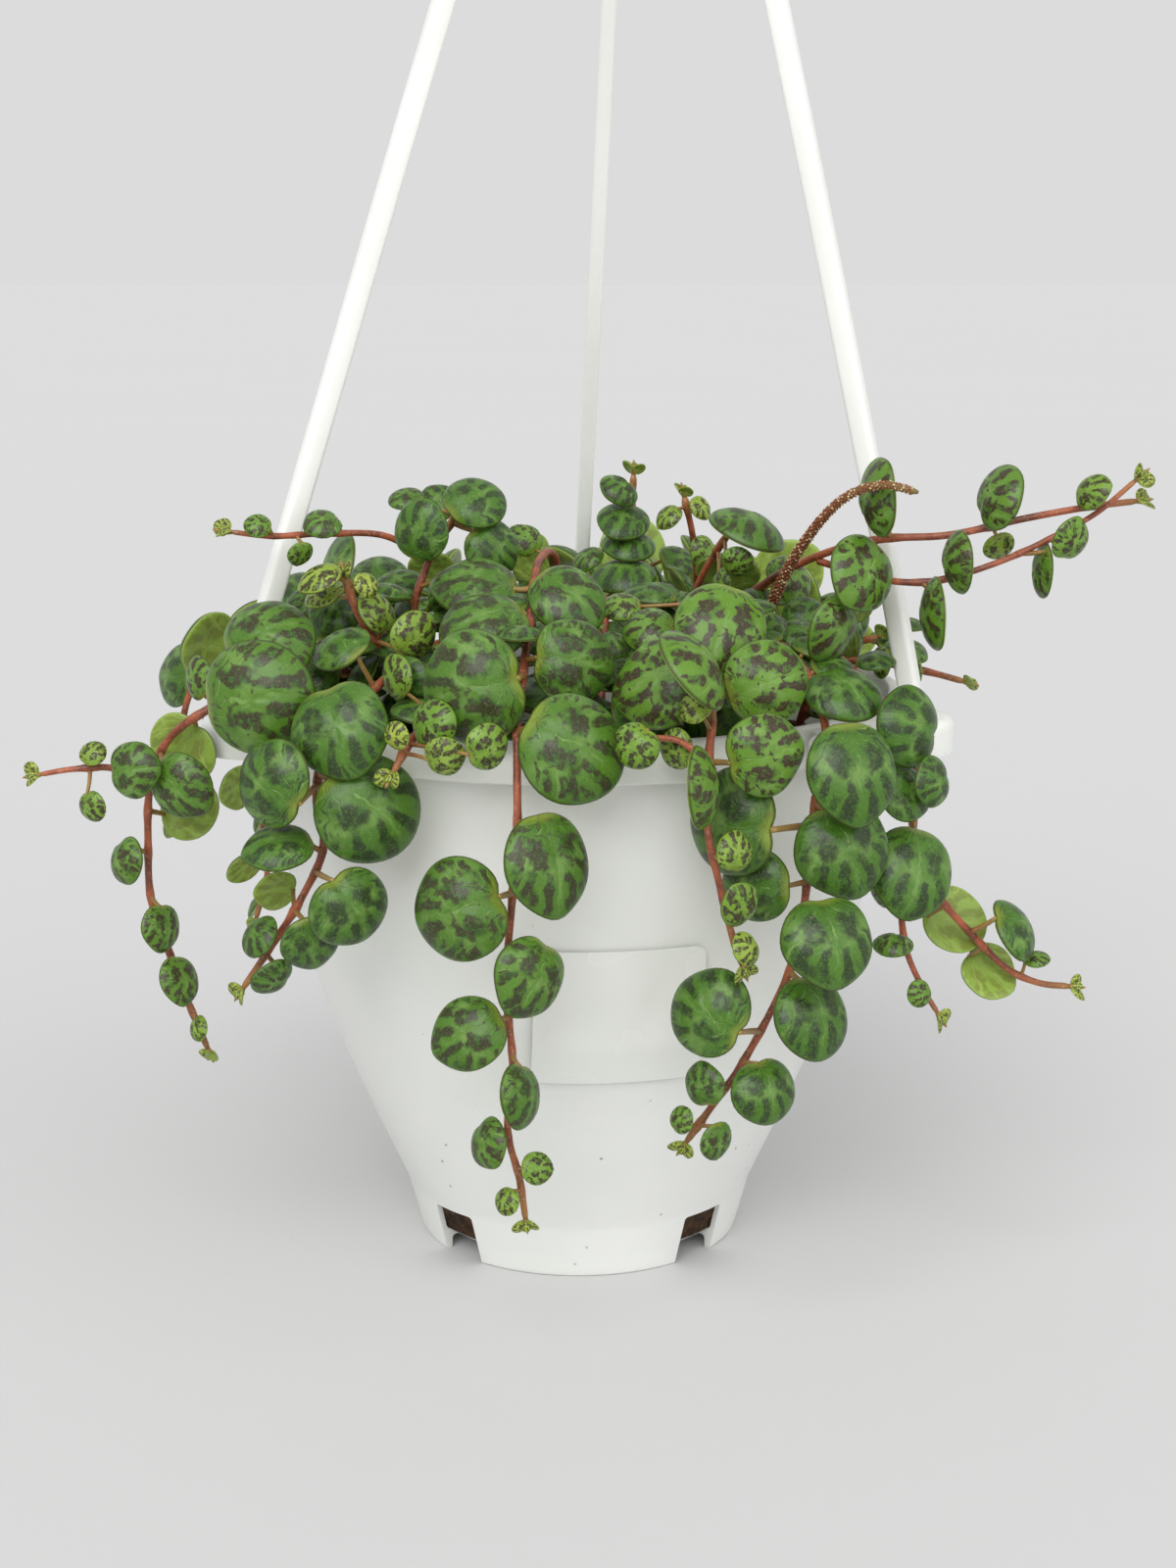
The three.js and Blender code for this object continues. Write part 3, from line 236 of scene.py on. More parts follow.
# Shoots placed one by one, as the front of the plant shows them.
# root: where the stem comes out of the soil. A shoot with no root branches off its node's stem.
# leaves: middle of the blade, its width, and the way its upper side faces, in degrees right of
# straight to the front and up from level.
SHOOTS = [
  {
    "node": "trail_front_middle", "root": [-2, -6],
    "route": [[-4, -16, 136], [-7, -29, 139], [-8, -42, 133], [-9, -55, 125], [-10, -65, 117],
      [-10, -72, 108], [-10, -74, 98], [-11, -75, 86], [-12, -75, 72], [-11, -75, 58],
      [-12, -74, 46], [-10, -74, 37], [-9, -73, 29]],
    "leaves": [[-18, -38, 135, 16, 5, 60], [-2, -44, 134, 14, 10, 40], [-16, -50, 130, 16, -5, 50],
      [-1, -58, 125, 15, 20, 15], [-17, -66, 122, 19, -15, 5], [-1, -74, 113, 19, 20, 20],
      [-5, -80, 95, 17, 35, 15], [-19, -80, 87, 17, -15, 10], [-8, -80, 76, 14, 35, 5],
      [-18, -79, 65, 13, -15, 20], [-10, -79, 54, 12, 65, 10], [-15, -78, 45, 9, -50, 15],
      [-7, -77, 40, 6, 30, 20], [-12, -77, 34, 5, -30, 20], [-10, -14, 141, 7, 20, 35]],
  },
  {
    "node": "trail_front_left", "root": [-13, -20],
    "route": [[-20, -30, 124], [-29, -42, 123], [-37, -53, 118], [-43, -60, 111], [-45, -62, 102],
      [-44, -62, 93], [-48, -62, 84], [-53, -61, 76], [-59, -60, 67]],
    "leaves": [[-41, -47, 126, 11, -40, 55], [-40, -67, 115, 17, -10, 20], [-51, -67, 106, 15, -30, 5],
      [-36, -70, 101, 19, 20, 10], [-51, -66, 94, 12, 0, 60], [-39, -69, 85, 14, 25, 0],
      [-53, -57, 84, 8, -155, 20], [-46, -68, 78, 11, 25, -20], [-55, -65, 78, 8, -45, 35],
      [-53, -66, 71, 8, 35, -30], [-29, -50, 120, 10, -35, -5]],
  },
  {
    "node": "trail_left_outer", "root": [-22, -12],
    "route": [[-33, -20, 123], [-44, -31, 124], [-55, -42, 119], [-65, -47, 115], [-73, -46, 109],
      [-77, -44, 100], [-78, -43, 89], [-78, -42, 78], [-75, -42, 68], [-72, -41, 58],
      [-69, -40, 49]],
    "leaves": [[-54, -47, 127, 17, -5, 40], [-55, -55, 119, 20, -10, 5], [-67, -46, 120, 8, -50, 5],
      [-71, -41, 107, 13, 160, 5], [-71, -40, 95, 12, 160, -20], [-70, -52, 102, 12, -15, 0],
      [-81, -47, 87, 9, -45, 10], [-76, -45, 74, 9, 55, 10], [-73, -45, 64, 9, 50, 25],
      [-70, -43, 54, 5, -45, 15]],
  },
  {
    "node": "trail_left_outer",
    "route": [[-77, -45, 101], [-83, -47, 104], [-90, -48, 104], [-96, -48, 103]],
    "leaves": [[-78, -53, 105, 10, -15, 10], [-86, -51, 98, 6, -30, -5], [-86, -49, 107, 5, -5, 40]],
  },
  {
    "node": "trail_front_young", "root": [14, -4],
    "route": [[20, -15, 127], [24, -27, 133], [25, -40, 130], [24, -53, 123], [23, -65, 116],
      [22, -72, 108], [22, -75, 99], [24, -76, 90], [26, -76, 82], [28, -76, 76]],
    "leaves": [[25, -46, 130, 17, 10, 30], [13, -42, 128, 10, -10, 50], [8, -36, 131, 8, 0, 60],
      [15, -62, 122, 17, -25, 25], [32, -62, 122, 15, 10, 15], [31, -74, 112, 14, 15, 5],
      [19, -71, 126, 16, 70, 40], [20, -80, 108, 14, 75, 5], [20, -70, 119, 6, -25, 40],
      [17, -75, 112, 7, -35, 0], [26, -81, 97, 7, 30, 10], [27, -81, 88, 8, 35, -10],
      [28, -81, 81, 6, 45, 25]],
  },
  {
    "node": "trail_front_young",
    "route": [[22, -71, 110], [17, -72, 114], [11, -70, 114]],
    "leaves": [[10, -74, 114, 8, -20, 10]],
  },
  {
    "node": "trail_front_right", "root": [28, -20],
    "route": [[34, -30, 123], [39, -42, 123], [42, -53, 118], [43, -61, 111], [41, -64, 102],
      [40, -65, 92], [39, -66, 82], [37, -67, 73], [33, -68, 64], [28, -69, 55], [23, -70, 48],
      [19, -70, 42]],
    "leaves": [[46, -57, 119, 14, 10, 60], [46, -67, 109, 17, 20, 20], [27, -70, 99, 18, -35, 5],
      [45, -70, 95, 17, 15, 15], [56, -58, 103, 11, 35, 25], [31, -70, 88, 13, -30, 5],
      [42, -72, 81, 16, 15, 25], [23, -74, 67, 15, -25, 15],
      [40, -73, 66, 15, 30, 25], [22, -74, 54, 8, -35, 5], [32, -74, 53, 12, 25, 20],
      [18, -73, 48, 5, -40, 15], [24, -74, 44, 7, 35, -5]],
  },
  {
    "node": "trail_right_outer", "root": [42, -12],
    "route": [[46, -24, 119], [51, -37, 119], [55, -46, 115], [59, -53, 108], [59, -55, 98],
      [60, -55, 89], [65, -53, 81], [72, -50, 73], [78, -48, 67], [84, -47, 64], [90, -46, 63]],
    "leaves": [[57, -56, 114, 14, 35, 15], [61, -57, 105, 9, 45, 10], [58, -62, 89, 16, 20, 25],
      [68, -49, 76, 13, -160, -35], [75, -46, 66, 11, -160, -35], [78, -51, 75, 12, 60, 35],
      [83, -49, 69, 5, -20, 70]],
  },
  {
    "node": "trail_right_outer",
    "route": [[60, -55, 90], [57, -59, 83], [58, -59, 74], [61, -59, 67], [64, -59, 62]],
    "leaves": [[54, -64, 85, 7, -50, -5], [55, -64, 76, 7, -15, 70], [60, -63, 67, 5, 25, 15]],
  },
  {
    "node": "shoot_left_high", "root": [-20, -16],
    "route": [[-27, -24, 118], [-30, -28, 129], [-28, -28, 137], [-25, -26, 143], [-21, -22, 148]],
    "leaves": [[-28, -34, 145, 11, -20, 0], [-19, -25, 149, 12, 15, 45], [-16, -30, 141, 11, 30, 15],
      [-26, -14, 148, 8, -10, 35], [-32, -17, 149, 7, -15, 60], [-25, -35, 133, 8, 60, 5]],
  },
  {
    "node": "shoot_left_high",
    "route": [[-27, -28, 139], [-35, -33, 144], [-45, -39, 145], [-54, -43, 145], [-61, -45, 146]],
    "leaves": [[-45, -42, 147, 7, 10, 50], [-49, -43, 142, 5, 30, -30], [-56, -45, 147, 5, 10, 40]],
  },
  {
    "node": "shoot_left_young", "root": [-26, -28],
    "route": [[-31, -35, 116], [-35, -40, 124], [-39, -43, 131], [-41, -44, 138]],
    "leaves": [[-29, -46, 128, 9, 30, 0], [-36, -47, 131, 9, 60, 30], [-45, -40, 134, 8, -40, 60],
      [-45, -47, 138, 8, -30, 55], [-37, -48, 137, 5, 40, 30]],
  },
  {
    "node": "shoot_left_crown", "root": [-30, -12],
    "route": [[-33, -15, 114], [-37, -18, 122], [-41, -23, 127]],
    "leaves": [[-44, -33, 130, 10, -10, 45], [-50, -25, 131, 8, -20, 50], [-34, -20, 133, 9, -10, 55],
      [-38, -10, 134, 11, -5, 65]],
  },
  {
    "node": "shoot_rim_left", "root": [-14, -38],
    "route": [[-19, -48, 112], [-24, -58, 115], [-28, -66, 113], [-31, -70, 108]],
    "leaves": [[-31, -54, 122, 8, -45, 5], [-24, -65, 116, 9, -30, 10], [-22, -75, 112, 7, -5, -10],
      [-15, -73, 114, 8, 25, -5], [-30, -71, 115, 5, -30, 0]],
  },
  {
    "node": "shoot_middle", "root": [18, 2],
    "route": [[20, -3, 120], [23, -10, 132], [26, -16, 139], [28, -21, 143]],
    "leaves": [[31, -26, 144, 15, 55, 65], [29, -30, 139, 6, -5, -20], [27, -22, 134, 6, -60, 5]],
  },
  {
    "node": "shoot_right_reach", "root": [24, 2],
    "route": [[29, -6, 124], [35, -17, 133], [44, -30, 140], [54, -39, 144], [66, -41, 145],
      [79, -42, 148], [90, -42, 150], [99, -41, 151]],
    "leaves": [[50, -44, 139, 14, 35, 20], [45, -46, 129, 16, 45, -10], [53, -46, 152, 14, -75, 0],
      [74, -46, 152, 12, -65, 20], [75, -40, 143, 6, 15, -30], [90, -46, 153, 7, -50, 25],
      [40, -12, 133, 10, 30, 30]],
  },
  {
    "node": "shoot_right_reach",
    "route": [[44, -30, 139], [54, -40, 137], [63, -43, 137], [73, -44, 140], [82, -44, 144],
      [91, -44, 149], [98, -44, 155]],
    "leaves": [[51, -34, 132, 7, 130, -20], [63, -46, 132, 13, -85, 0], [67, -48, 141, 11, -75, 0],
      [86, -48, 145, 8, 30, -15], [83, -46, 139, 10, -85, 0]],
  },
  {
    "node": "shoot_right_low", "root": [40, -2],
    "route": [[46, -8, 114], [53, -14, 118], [60, -19, 118], [67, -23, 117], [72, -26, 116]],
    "leaves": [[40, -19, 122, 8, -45, 50], [48, -21, 118, 8, 25, 50], [57, -22, 119, 6, -60, 5],
      [63, -26, 118, 6, -80, 0]],
  },
  {
    "node": "shoot_back_middle", "root": [13, 20],
    "route": [[14, 20, 118], [13, 19, 130], [11, 17, 142], [11, 15, 151]],
    "leaves": [[9, 8, 131, 13, -20, 70], [10, 11, 137, 11, 10, 65], [9, 13, 142, 11, 15, 55],
      [8, 11, 148, 8, 30, 45], [2, 14, 134, 7, -40, 50], [20, 16, 133, 8, 30, 45]],
  },
  {
    "node": "shoot_back_right", "root": [24, 16],
    "route": [[24, 16, 116], [24, 15, 127], [23, 12, 138], [21, 10, 147]],
    "leaves": [[25, 9, 136, 7, 35, 10], [18, 9, 143, 6, -40, 40], [24, 8, 145, 5, 35, 25]],
  },
]

# Flower spike, in millimetres: its route out of the soil, and where the bare stalk ends
SPIKE_ROOT = [32, -6]
SPIKE_ROUTE = [[35, -14, 122], [37, -25, 133], [41, -38, 144], [46, -49, 152], [52, -54, 155],
               [58, -57, 154]]
SPIKE_START = 0.42
SPIKE_STALK = 0.8
SPIKE_CORE = 1.0
SPIKE_RINGS = 90
FLORETS = 620
FLORET_WIDTHS = (0.22, 0.16)

# Shoots grown by rule. Growth: place of the first leaf, step to the next, first and last width
TRAIL_ANGLES = (46, 60, 74, 88, 104, 128, 152, 178)
TRAIL_ENDS = (84, 62, 46, 70, 38, 72, 52, 78)
TRAIL_ROOT = 27
TRAIL_CREST = (118, 5)
TRAIL_BEND = 7
TRAIL_RISE = ((38, 0), (51, 2))
TRAIL_FALL = ((65, 0), (75, 7), (79, 17))
TRAIL_HANG = (78, 2)
TRAIL_STEP = 10
TRAIL_GROWTH = (0.4, 0.9, 18, 7)
CROWN_SHOOTS = 14
CROWN_LEAVES = 6
CROWN_REACH = (10, 44)
CROWN_TOP, CROWN_FALL, CROWN_SPREAD = 134, 16, 8
CROWN_RISE = ((0.1, 0.3), (0.35, 0.62), (0.7, 0.88), (1.15, 1))
CROWN_GROWTH = (0.6, 3.2 / CROWN_LEAVES, 17, 9)
GOLDEN_ANGLE = 137.5
GROWTH_TRIES = ((0, 1), (22, 1), (-22, 1), (0, 0.8), (40, 0.8), (-40, 0.8), (0, 0.62), (60, 0.62))

# Stems and leaf stalks, in millimetres
STALK_RADIUS = 0.88
SIDE_STALK_RADIUS = 0.68
STALK_SPACING = 1.1
STALK_THINNING = 0.32
JOINT_SWELLING = 0.22
JOINT_LENGTH = 1.4
TIP_BUD = 3.4
TIP_LEAVES = ((0, 3.4, 0.9), (180, 3.0, 0.9), (90, 2.2, 0.4))

# Leaves that fill the low middle of the crown, in millimetres
FILL_SPACING = 5.5
FILL_REACH = 64
FILL_CLEAR = 5.2
FILL_WIDTHS = (7.5, 4.5)
CROWN_FLOOR = 104
CROWN_CEILING = 131

# Blades, for a leaf 1 wide. Detail: the least width in millimetres, and the rings and spokes.
LEAF_DETAIL = ((13, 14, 46), (8, 9, 32), (0, 6, 20))
LEAF_SHAPES = (
    {"oval": 0.0, "notch": 0.018, "point": 0.0, "wobble": 0.012, "dome": 1.0},
    {"oval": -0.05, "notch": 0.05, "point": 0.0, "wobble": 0.018, "dome": 1.12},
    {"oval": 0.03, "notch": 0.015, "point": 0.035, "wobble": 0.014, "dome": 0.88},
    {"oval": -0.02, "notch": 0.03, "point": 0.015, "wobble": 0.03, "dome": 1.0},
)
BLADE_DOME = 0.235
BACK_BULGE = 0.045
BACK_HOLLOW = 0.075
VEIN_DEPTH = 0.014

# How young a shoot's leaves are, from 0 to 1, where they are younger than the rest
YOUNG_SHOOTS = {"trail_front_young": 0.42, "shoot_left_young": 0.62, "shoot_middle": 0.2,
                "shoot_rim_left": 0.45, "shoot_right_low": 0.3, "shoot_back_right": 0.35,
                "trail_front_middle": 0.22, "trail_left_outer": 0.25, "shoot_right_reach": 0.36}

# Kinds of the values that Geometry Nodes read from a point. All others are plain numbers.
VALUE_KINDS = {"turn": "FLOAT_VECTOR", "kind": "INT"}

# Starts of the random draws
TRAIL_SEED, TRAIL_ROUTE_SEED = 100, 200
CROWN_SEED, CROWN_ROUTE_SEED = 300, 400
LEAF_SEED, FILL_SEED, FLORET_SEED, GRAIN_SEED = 900, 3000, 5000, 77
DRAW_FACTOR, DRAW_STEP, DRAW_RANGE = 1664525, 1013904223, 2 ** 32

# Camera and light
CAMERA_PLACE = (0.0019, -0.458, 0.191)
CAMERA_PITCH = 12.34
CAMERA_LENS = 54
SENSOR = 36
CLIP = (0.01, 100)
FLOOR_REACH = 30
LIGHTS = (("key", (50, 0, -16), 42, 1.8), ("fill", (66, 0, 40), 75, 0.95))
SKY_TONE = 219


# Vectors and curves

def vec(*values):
    return np.array(values, dtype=float)


def unit(vector):
    return vector / np.linalg.norm(vector)


def cosd(angle):
    return math.cos(math.radians(angle))


def sind(angle):
    return math.sin(math.radians(angle))


def on_axis(radius, angle, height):
    return vec(radius * cosd(angle), radius * sind(angle), height)


def seeded_draw(seed):
    state = seed

    def draw():
        nonlocal state
        state = (state * DRAW_FACTOR + DRAW_STEP) % DRAW_RANGE
        return state / DRAW_RANGE
    return draw


class Curve:
    """Smooth curve through points: evenly weighted, or centripetal where spacing is uneven."""

    def __init__(self, points, centripetal=False):
        points = [vec(*point) for point in points]
        self.points = [2 * points[0] - points[1], *points, 2 * points[-1] - points[-2]]
        self.centripetal = centripetal
        self.steps = np.linspace(0, 1, 201)
        places = np.array([self.at(t) for t in self.steps])
        lengths = np.linalg.norm(np.diff(places, axis=0), axis=1)
        self.lengths = np.concatenate([[0], np.cumsum(lengths)])
        self.length = self.lengths[-1]

    def tangents(self, p0, p1, p2, p3):
        if not self.centripetal:
            return 0.5 * (p2 - p0), 0.5 * (p3 - p1)
        d0, d1, d2 = (math.sqrt(np.linalg.norm(b - a)) for a, b in ((p0, p1), (p1, p2), (p2, p3)))
        start = (p1 - p0) / d0 - (p2 - p0) / (d0 + d1) + (p2 - p1) / d1
        end = (p2 - p1) / d1 - (p3 - p1) / (d1 + d2) + (p3 - p2) / d2
        return start * d1, end * d1

    def at(self, t):
        spans = len(self.points) - 3
        place = spans * t
        index = min(int(place), spans - 1)
        weight = place - index
        p0, p1, p2, p3 = self.points[index:index + 4]
        t0, t1 = self.tangents(p0, p1, p2, p3)
        square = -3 * p1 + 3 * p2 - 2 * t0 - t1
        cube = 2 * p1 - 2 * p2 + t0 + t1
        return p1 + weight * (t0 + weight * (square + weight * cube))

    def evenly(self, count):
        """count + 1 points, the same length of curve apart."""
        wanted = np.linspace(0, self.length, count + 1)
        return np.array([self.at(t) for t in np.interp(wanted, self.lengths, self.steps)])


# Plant layout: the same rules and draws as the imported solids

def wall_radius(height):
    """Radius of the pot's outer wall, in metres."""
    for (r0, z0), (r1, z1) in zip(WALL_OUTLINE, WALL_OUTLINE[1:]):
        if height <= z1:
            return r0 + (r1 - r0) * (height - z0) / (z1 - z0)
    return RIM_RADIUS


def soil_height(radius):
    """Height of the soil's top, a little crowned, in metres."""
    return SOIL_TOP - SOIL_DROP * (radius / SOIL_EDGE_RADIUS) ** 2


class Shoot:
    """A stem with its route, in millimetres, and the leaves that are set or grown on it."""

    def __init__(self, node, route, root=None, leaves=(), growth=()):
        self.node, self.root, self.leaves, self.growth = node, root, leaves, growth
        self.route_points = len(route)
        points = [vec(*point) for point in route]
        if root is not None:
            ground = soil_height(math.hypot(*root) * MM) / MM
            points = [vec(*root, ground + height) for height in ROOT_HEIGHTS] + points
        self.curve = Curve(points)
        self.path = self.curve.evenly(math.ceil(self.curve.length / 2))

    def share(self, at):
        """Place along the curve, from 0 to 1, of a place counted in route points."""
        before = len(ROOT_HEIGHTS) if self.root is not None else 0
        return min((at + before) / (self.route_points - 1 + before), 1)


class Leaf:
    """A blade: its stem's base point, the way of its tip and upper side, its middle and width."""

    def __init__(self, shoot, base, tip, normal, centre, size):
        self.shoot, self.node = shoot, shoot.node
        self.base, self.tip, self.normal, self.centre, self.size = base, tip, normal, centre, size
        self.across = np.cross(normal, tip)

    def samples(self):
        points = []
        for share, count in ((0, 1), (0.55, 6), (1, 12)):
            for i in range(count):
                angle = 2 * math.pi * i / count
                radius = share * self.size / 2
                point = self.centre + self.tip * radius * math.cos(angle)
                point = point + self.across * radius * math.sin(angle)
                points.append(point + self.normal * DOME / 2 * self.size * (1 - share * share))
        return np.array(points)

    def holds(self, points, margin):
        """Whether any of the points is in the blade, or closer to it than the margin."""
        offset = points - self.centre
        height = offset @ self.normal
        distance = np.linalg.norm(offset - np.outer(height, self.normal), axis=1)
        radius = self.size / 2
        dome = DOME * self.size * np.maximum(0, 1 - (distance / radius) ** 2)
        inside = (distance <= radius + margin) & (height > -margin) & (height < dome + margin)
        return bool(inside.any())


def outward(point):
    """Way from the middle of the plant, never much down."""
    flat = math.hypot(point[0], point[1])
    return unit(vec(point[0], point[1], max(0.25 * flat, point[2] - MIDDLE_OF_PLANT)))


def turned_about(vector, axis, angle):
    level = axis * (axis @ vector) * (1 - cosd(angle))
    return vector * cosd(angle) + np.cross(axis, vector) * sind(angle) + level


def place_leaf(shoot, at, turn, size, roll):
    """A leaf on its stem: turned about the stem from straight outward, rolled about its length."""
    t = shoot.share(at)
    base = shoot.curve.at(t)
    tangent = unit(shoot.curve.at(min(t + 0.002, 1)) - shoot.curve.at(t - 0.002))
    facing = outward(base)
    front = unit(facing - tangent * (facing @ tangent))
    across = front * cosd(turn) + np.cross(front, tangent) * sind(turn)
    tip = unit(across * cosd(DROOP) + tangent * sind(DROOP))
    normal = turned_about(unit(facing - tip * (facing @ tip)), tip, roll)
    centre = base + tip * (size * (0.5 + PETIOLE) + STEM_RADIUS * 0.6)
    return Leaf(shoot, base, tip, normal, centre, size)


def leaf_base(shoot, centre, size):
    """Where on its stem the leaf grows: the nearest point that its reach allows."""
    distances = np.linalg.norm(shoot.path - centre, axis=1)
    nearest = min(int(distances.argmin()), len(shoot.path) - 2)
    while nearest > 0 and distances[nearest] < size * LEAF_REACH:
        nearest -= 1
    return shoot.path[nearest]


def set_leaf(shoot, x, y, z, size, yaw, pitch):
    """A leaf in its place, which grows from its stem, from behind the blade towards the root."""
    centre = vec(x, y, z)
    base = leaf_base(shoot, centre, size)
    normal = vec(cosd(pitch) * sind(yaw), -cosd(pitch) * cosd(yaw), sind(pitch))
    tip = centre - base
    tip = unit(tip - normal * (tip @ normal))
    return Leaf(shoot, base, tip, normal, centre, size)


def near_segment(points, start, end):
    """Distance of each point from the straight line between two places."""
    along = end - start
    share = np.clip((points - start) @ along / (along @ along), 0, 1)
    return np.linalg.norm(points - start - np.outer(share, along), axis=1)


def blocked_by_holder(points):
    """Whether any of the points is in the pot, an ear or an arm of the hanger."""
    metres = points * MM
    radius = np.hypot(metres[:, 0], metres[:, 1])
    height = metres[:, 2]
    over_soil = (radius < SOIL_EDGE_RADIUS - MM) & (height > soil_height(radius) + MM)
    walls = np.array([wall_radius(z) if z < RIM_BOTTOM - MM else RIM_RADIUS for z in height])
    outside = radius > walls + 1.5 * MM
    if ((height < RIM_TOP + MM) & ~over_soil & ~outside).any():
        return True
    for angle in EAR_ANGLES:
        lug = on_axis(EAR_CENTRE, angle, 0)
        on_ear = np.hypot(metres[:, 0] - lug[0], metres[:, 1] - lug[1]) < EAR_RADIUS + 2 * MM
        if (on_ear & (height < RIM_TOP + 1.5 * MM) & (height > RIM_BOTTOM - 1.5 * MM)).any():
            return True
        foot = on_axis(ARM_NECK, angle, RIM_TOP + MM)
        if (near_segment(metres, foot, vec(*HUB)) < 5 * MM).any():
            return True
    return False


class Plant:
    """Every shoot and leaf, each kept clear of the others, the pot and the hanger."""

    def __init__(self):
        self.shoots, self.leaves, self.stems = [], [], []
        for entry in SHOOTS:
            self.add_stem(Shoot(entry["node"], entry["route"], entry.get("root"), entry["leaves"]))
        self.spike = Shoot("flower_spike", SPIKE_ROUTE, SPIKE_ROOT)
        self.stems.append(self.spike)
        for shoot in list(self.shoots):
            for place in shoot.leaves:
                self.fit_leaf(shoot, place)
        self.grow_trails()
        self.grow_crown()

    def add_stem(self, shoot):
        self.shoots.append(shoot)
        self.stems.append(shoot)

    def leaf_is_clear(self, leaf):
        points = leaf.samples()
        if blocked_by_holder(points):
            return False
        for other in self.leaves:
            room = (other.size + leaf.size) / 2 + MARGIN
            if np.linalg.norm(other.centre - leaf.centre) > room:
                continue
            if other.holds(points, MARGIN) or leaf.holds(other.samples(), MARGIN):
                return False
        for stem in self.stems:
            if stem.node != leaf.node:
                if leaf.holds(stem.path, STEM_MARGIN):
                    return False
                continue
            beyond = stem.path[np.linalg.norm(stem.path - leaf.base, axis=1) > OWN_STEM_NEAR]
            if leaf.holds(beyond, OWN_STEM_MARGIN):
                return False
        return True

    def stem_is_clear(self, shoot):
        path = shoot.path[shoot.path[:, 2] > SOIL_TOP / MM + 1]
        if blocked_by_holder(path):
            return False
        space = 2 * STEM_RADIUS + 0.6
        for stem in self.stems:
            gaps = np.linalg.norm(path[:, None] - stem.path[None], axis=2)
            if (gaps < space).any():
                return False
        return not any(leaf.holds(path, STEM_MARGIN) for leaf in self.leaves)

    def fit_leaf(self, shoot, place):
        """A leaf given in the table, moved a little nearer or farther and made smaller until clear."""
        x, y, z, size, yaw, pitch = place
        for scale in FIT_SCALES:
            for shift in FIT_SHIFTS:
                leaf = set_leaf(shoot, x, y + shift, z, size * scale, yaw, pitch)
                if self.leaf_is_clear(leaf):
                    self.leaves.append(leaf)
                    return

    def grow_leaves(self, shoot, draw):
        """Leaves along a shoot on alternate sides, smaller towards the tip."""
        first, step, largest, smallest = shoot.growth
        last = shoot.route_points - 1
        way = 1
        at = first
        while at <= last + 0.01:
            share = (at - first) / (last - first)
            size = (largest + (smallest - largest) * share) * (0.88 + 0.24 * draw())
            turn = way * (48 + 34 * draw())
            roll = 36 * (draw() - 0.5)
            way = -way
            for shift, scale in GROWTH_TRIES:
                leaf = place_leaf(shoot, at, turn + way * shift, size * scale, roll)
                if self.leaf_is_clear(leaf):
                    self.leaves.append(leaf)
                    break
            at += step

    def grow_shoot(self, name, make_route, root_radius, angle, growth, draw):
        for shift in range(12):
            turned = angle + (-1 if shift % 2 else 1) * math.ceil(shift / 2) * 4
            root = on_axis(root_radius, turned, 0)[:2]
            shoot = Shoot(name, make_route(turned), root, (), growth)
            if self.stem_is_clear(shoot):
                self.add_stem(shoot)
                self.grow_leaves(shoot, draw)
                return

    def grow_trails(self):
        for i, (angle, end) in enumerate(zip(TRAIL_ANGLES, TRAIL_ENDS)):
            def route(turned, end=end, seed=TRAIL_ROUTE_SEED + i):
                return trail_route(turned, end, seeded_draw(seed))
            draw = seeded_draw(TRAIL_SEED + i)
            self.grow_shoot(f"trail_back_{i + 1}", route, TRAIL_ROOT, angle, TRAIL_GROWTH, draw)

    def grow_crown(self):
        inner, outer = CROWN_REACH
        for i in range(CROWN_SHOOTS):
            draw = seeded_draw(CROWN_SEED + i)
            radius = inner + (outer - inner) * math.sqrt((i + 0.5) / CROWN_SHOOTS)
            top = CROWN_TOP - CROWN_FALL * (radius / outer) + CROWN_SPREAD * draw()

            def route(turned, radius=radius, top=top, seed=CROWN_ROUTE_SEED + i):
                return crown_route(turned, radius, top, seeded_draw(seed))
            self.grow_shoot(f"crown_{i + 1}", route, radius, i * GOLDEN_ANGLE, CROWN_GROWTH, draw)


def trail_route(angle, end, draw):
    """Out of the pot, over the rim and down."""
    def bend():
        return TRAIL_BEND * (draw() - 0.5)

    crest = TRAIL_CREST[0] + TRAIL_CREST[1] * draw()
    route = [on_axis(radius, angle + bend(), crest + rise) for radius, rise in TRAIL_RISE]
    route += [on_axis(radius, angle, crest - fall) for radius, fall in TRAIL_FALL]
    sway = angle
    height = crest - TRAIL_FALL[-1][1] - TRAIL_STEP
    while height > end:
        sway += bend()
        route.append(on_axis(TRAIL_HANG[0] + TRAIL_HANG[1] * draw(), sway, height))
        height -= TRAIL_STEP
    return route


def crown_route(angle, radius, top, draw):
    """Up out of the soil, leaning outward."""
    lean = 10 + 8 * draw()
    start = soil_height(radius * MM) / MM
    route = []
    for reach, rise in CROWN_RISE:
        turned = angle + 5 * (draw() - 0.5)
        route.append(on_axis(radius + lean * reach, turned, start + (top - start) * rise))
    return route


# Meshes

class Shape:
    """Vertices and faces of a piece while it is built, with one number a vertex for the shader."""

    def __init__(self):
        self.points, self.faces, self.tones = [], [], []

    def add(self, points, faces, tones=0.0):
        start = len(self.points)
        self.points += [tuple(point) for point in points]
        self.faces += [tuple(corner + start for corner in face) for face in faces]
        self.tones += list(np.broadcast_to(tones, len(points)))

    def mesh(self, name, material):
        mesh = bpy.data.meshes.new(name)
        mesh.from_pydata(self.points, [], self.faces)
        mesh.attributes.new("tone", "FLOAT", "POINT").data.foreach_set("value", self.tones)
        mesh.materials.append(material)
        return cleaned(mesh)


@contextmanager
def edited(mesh):
    """The mesh as one to edit, written back at the end of the block."""
    work = bmesh.new()
    work.from_mesh(mesh)
    yield work
    work.to_mesh(mesh)
    work.free()


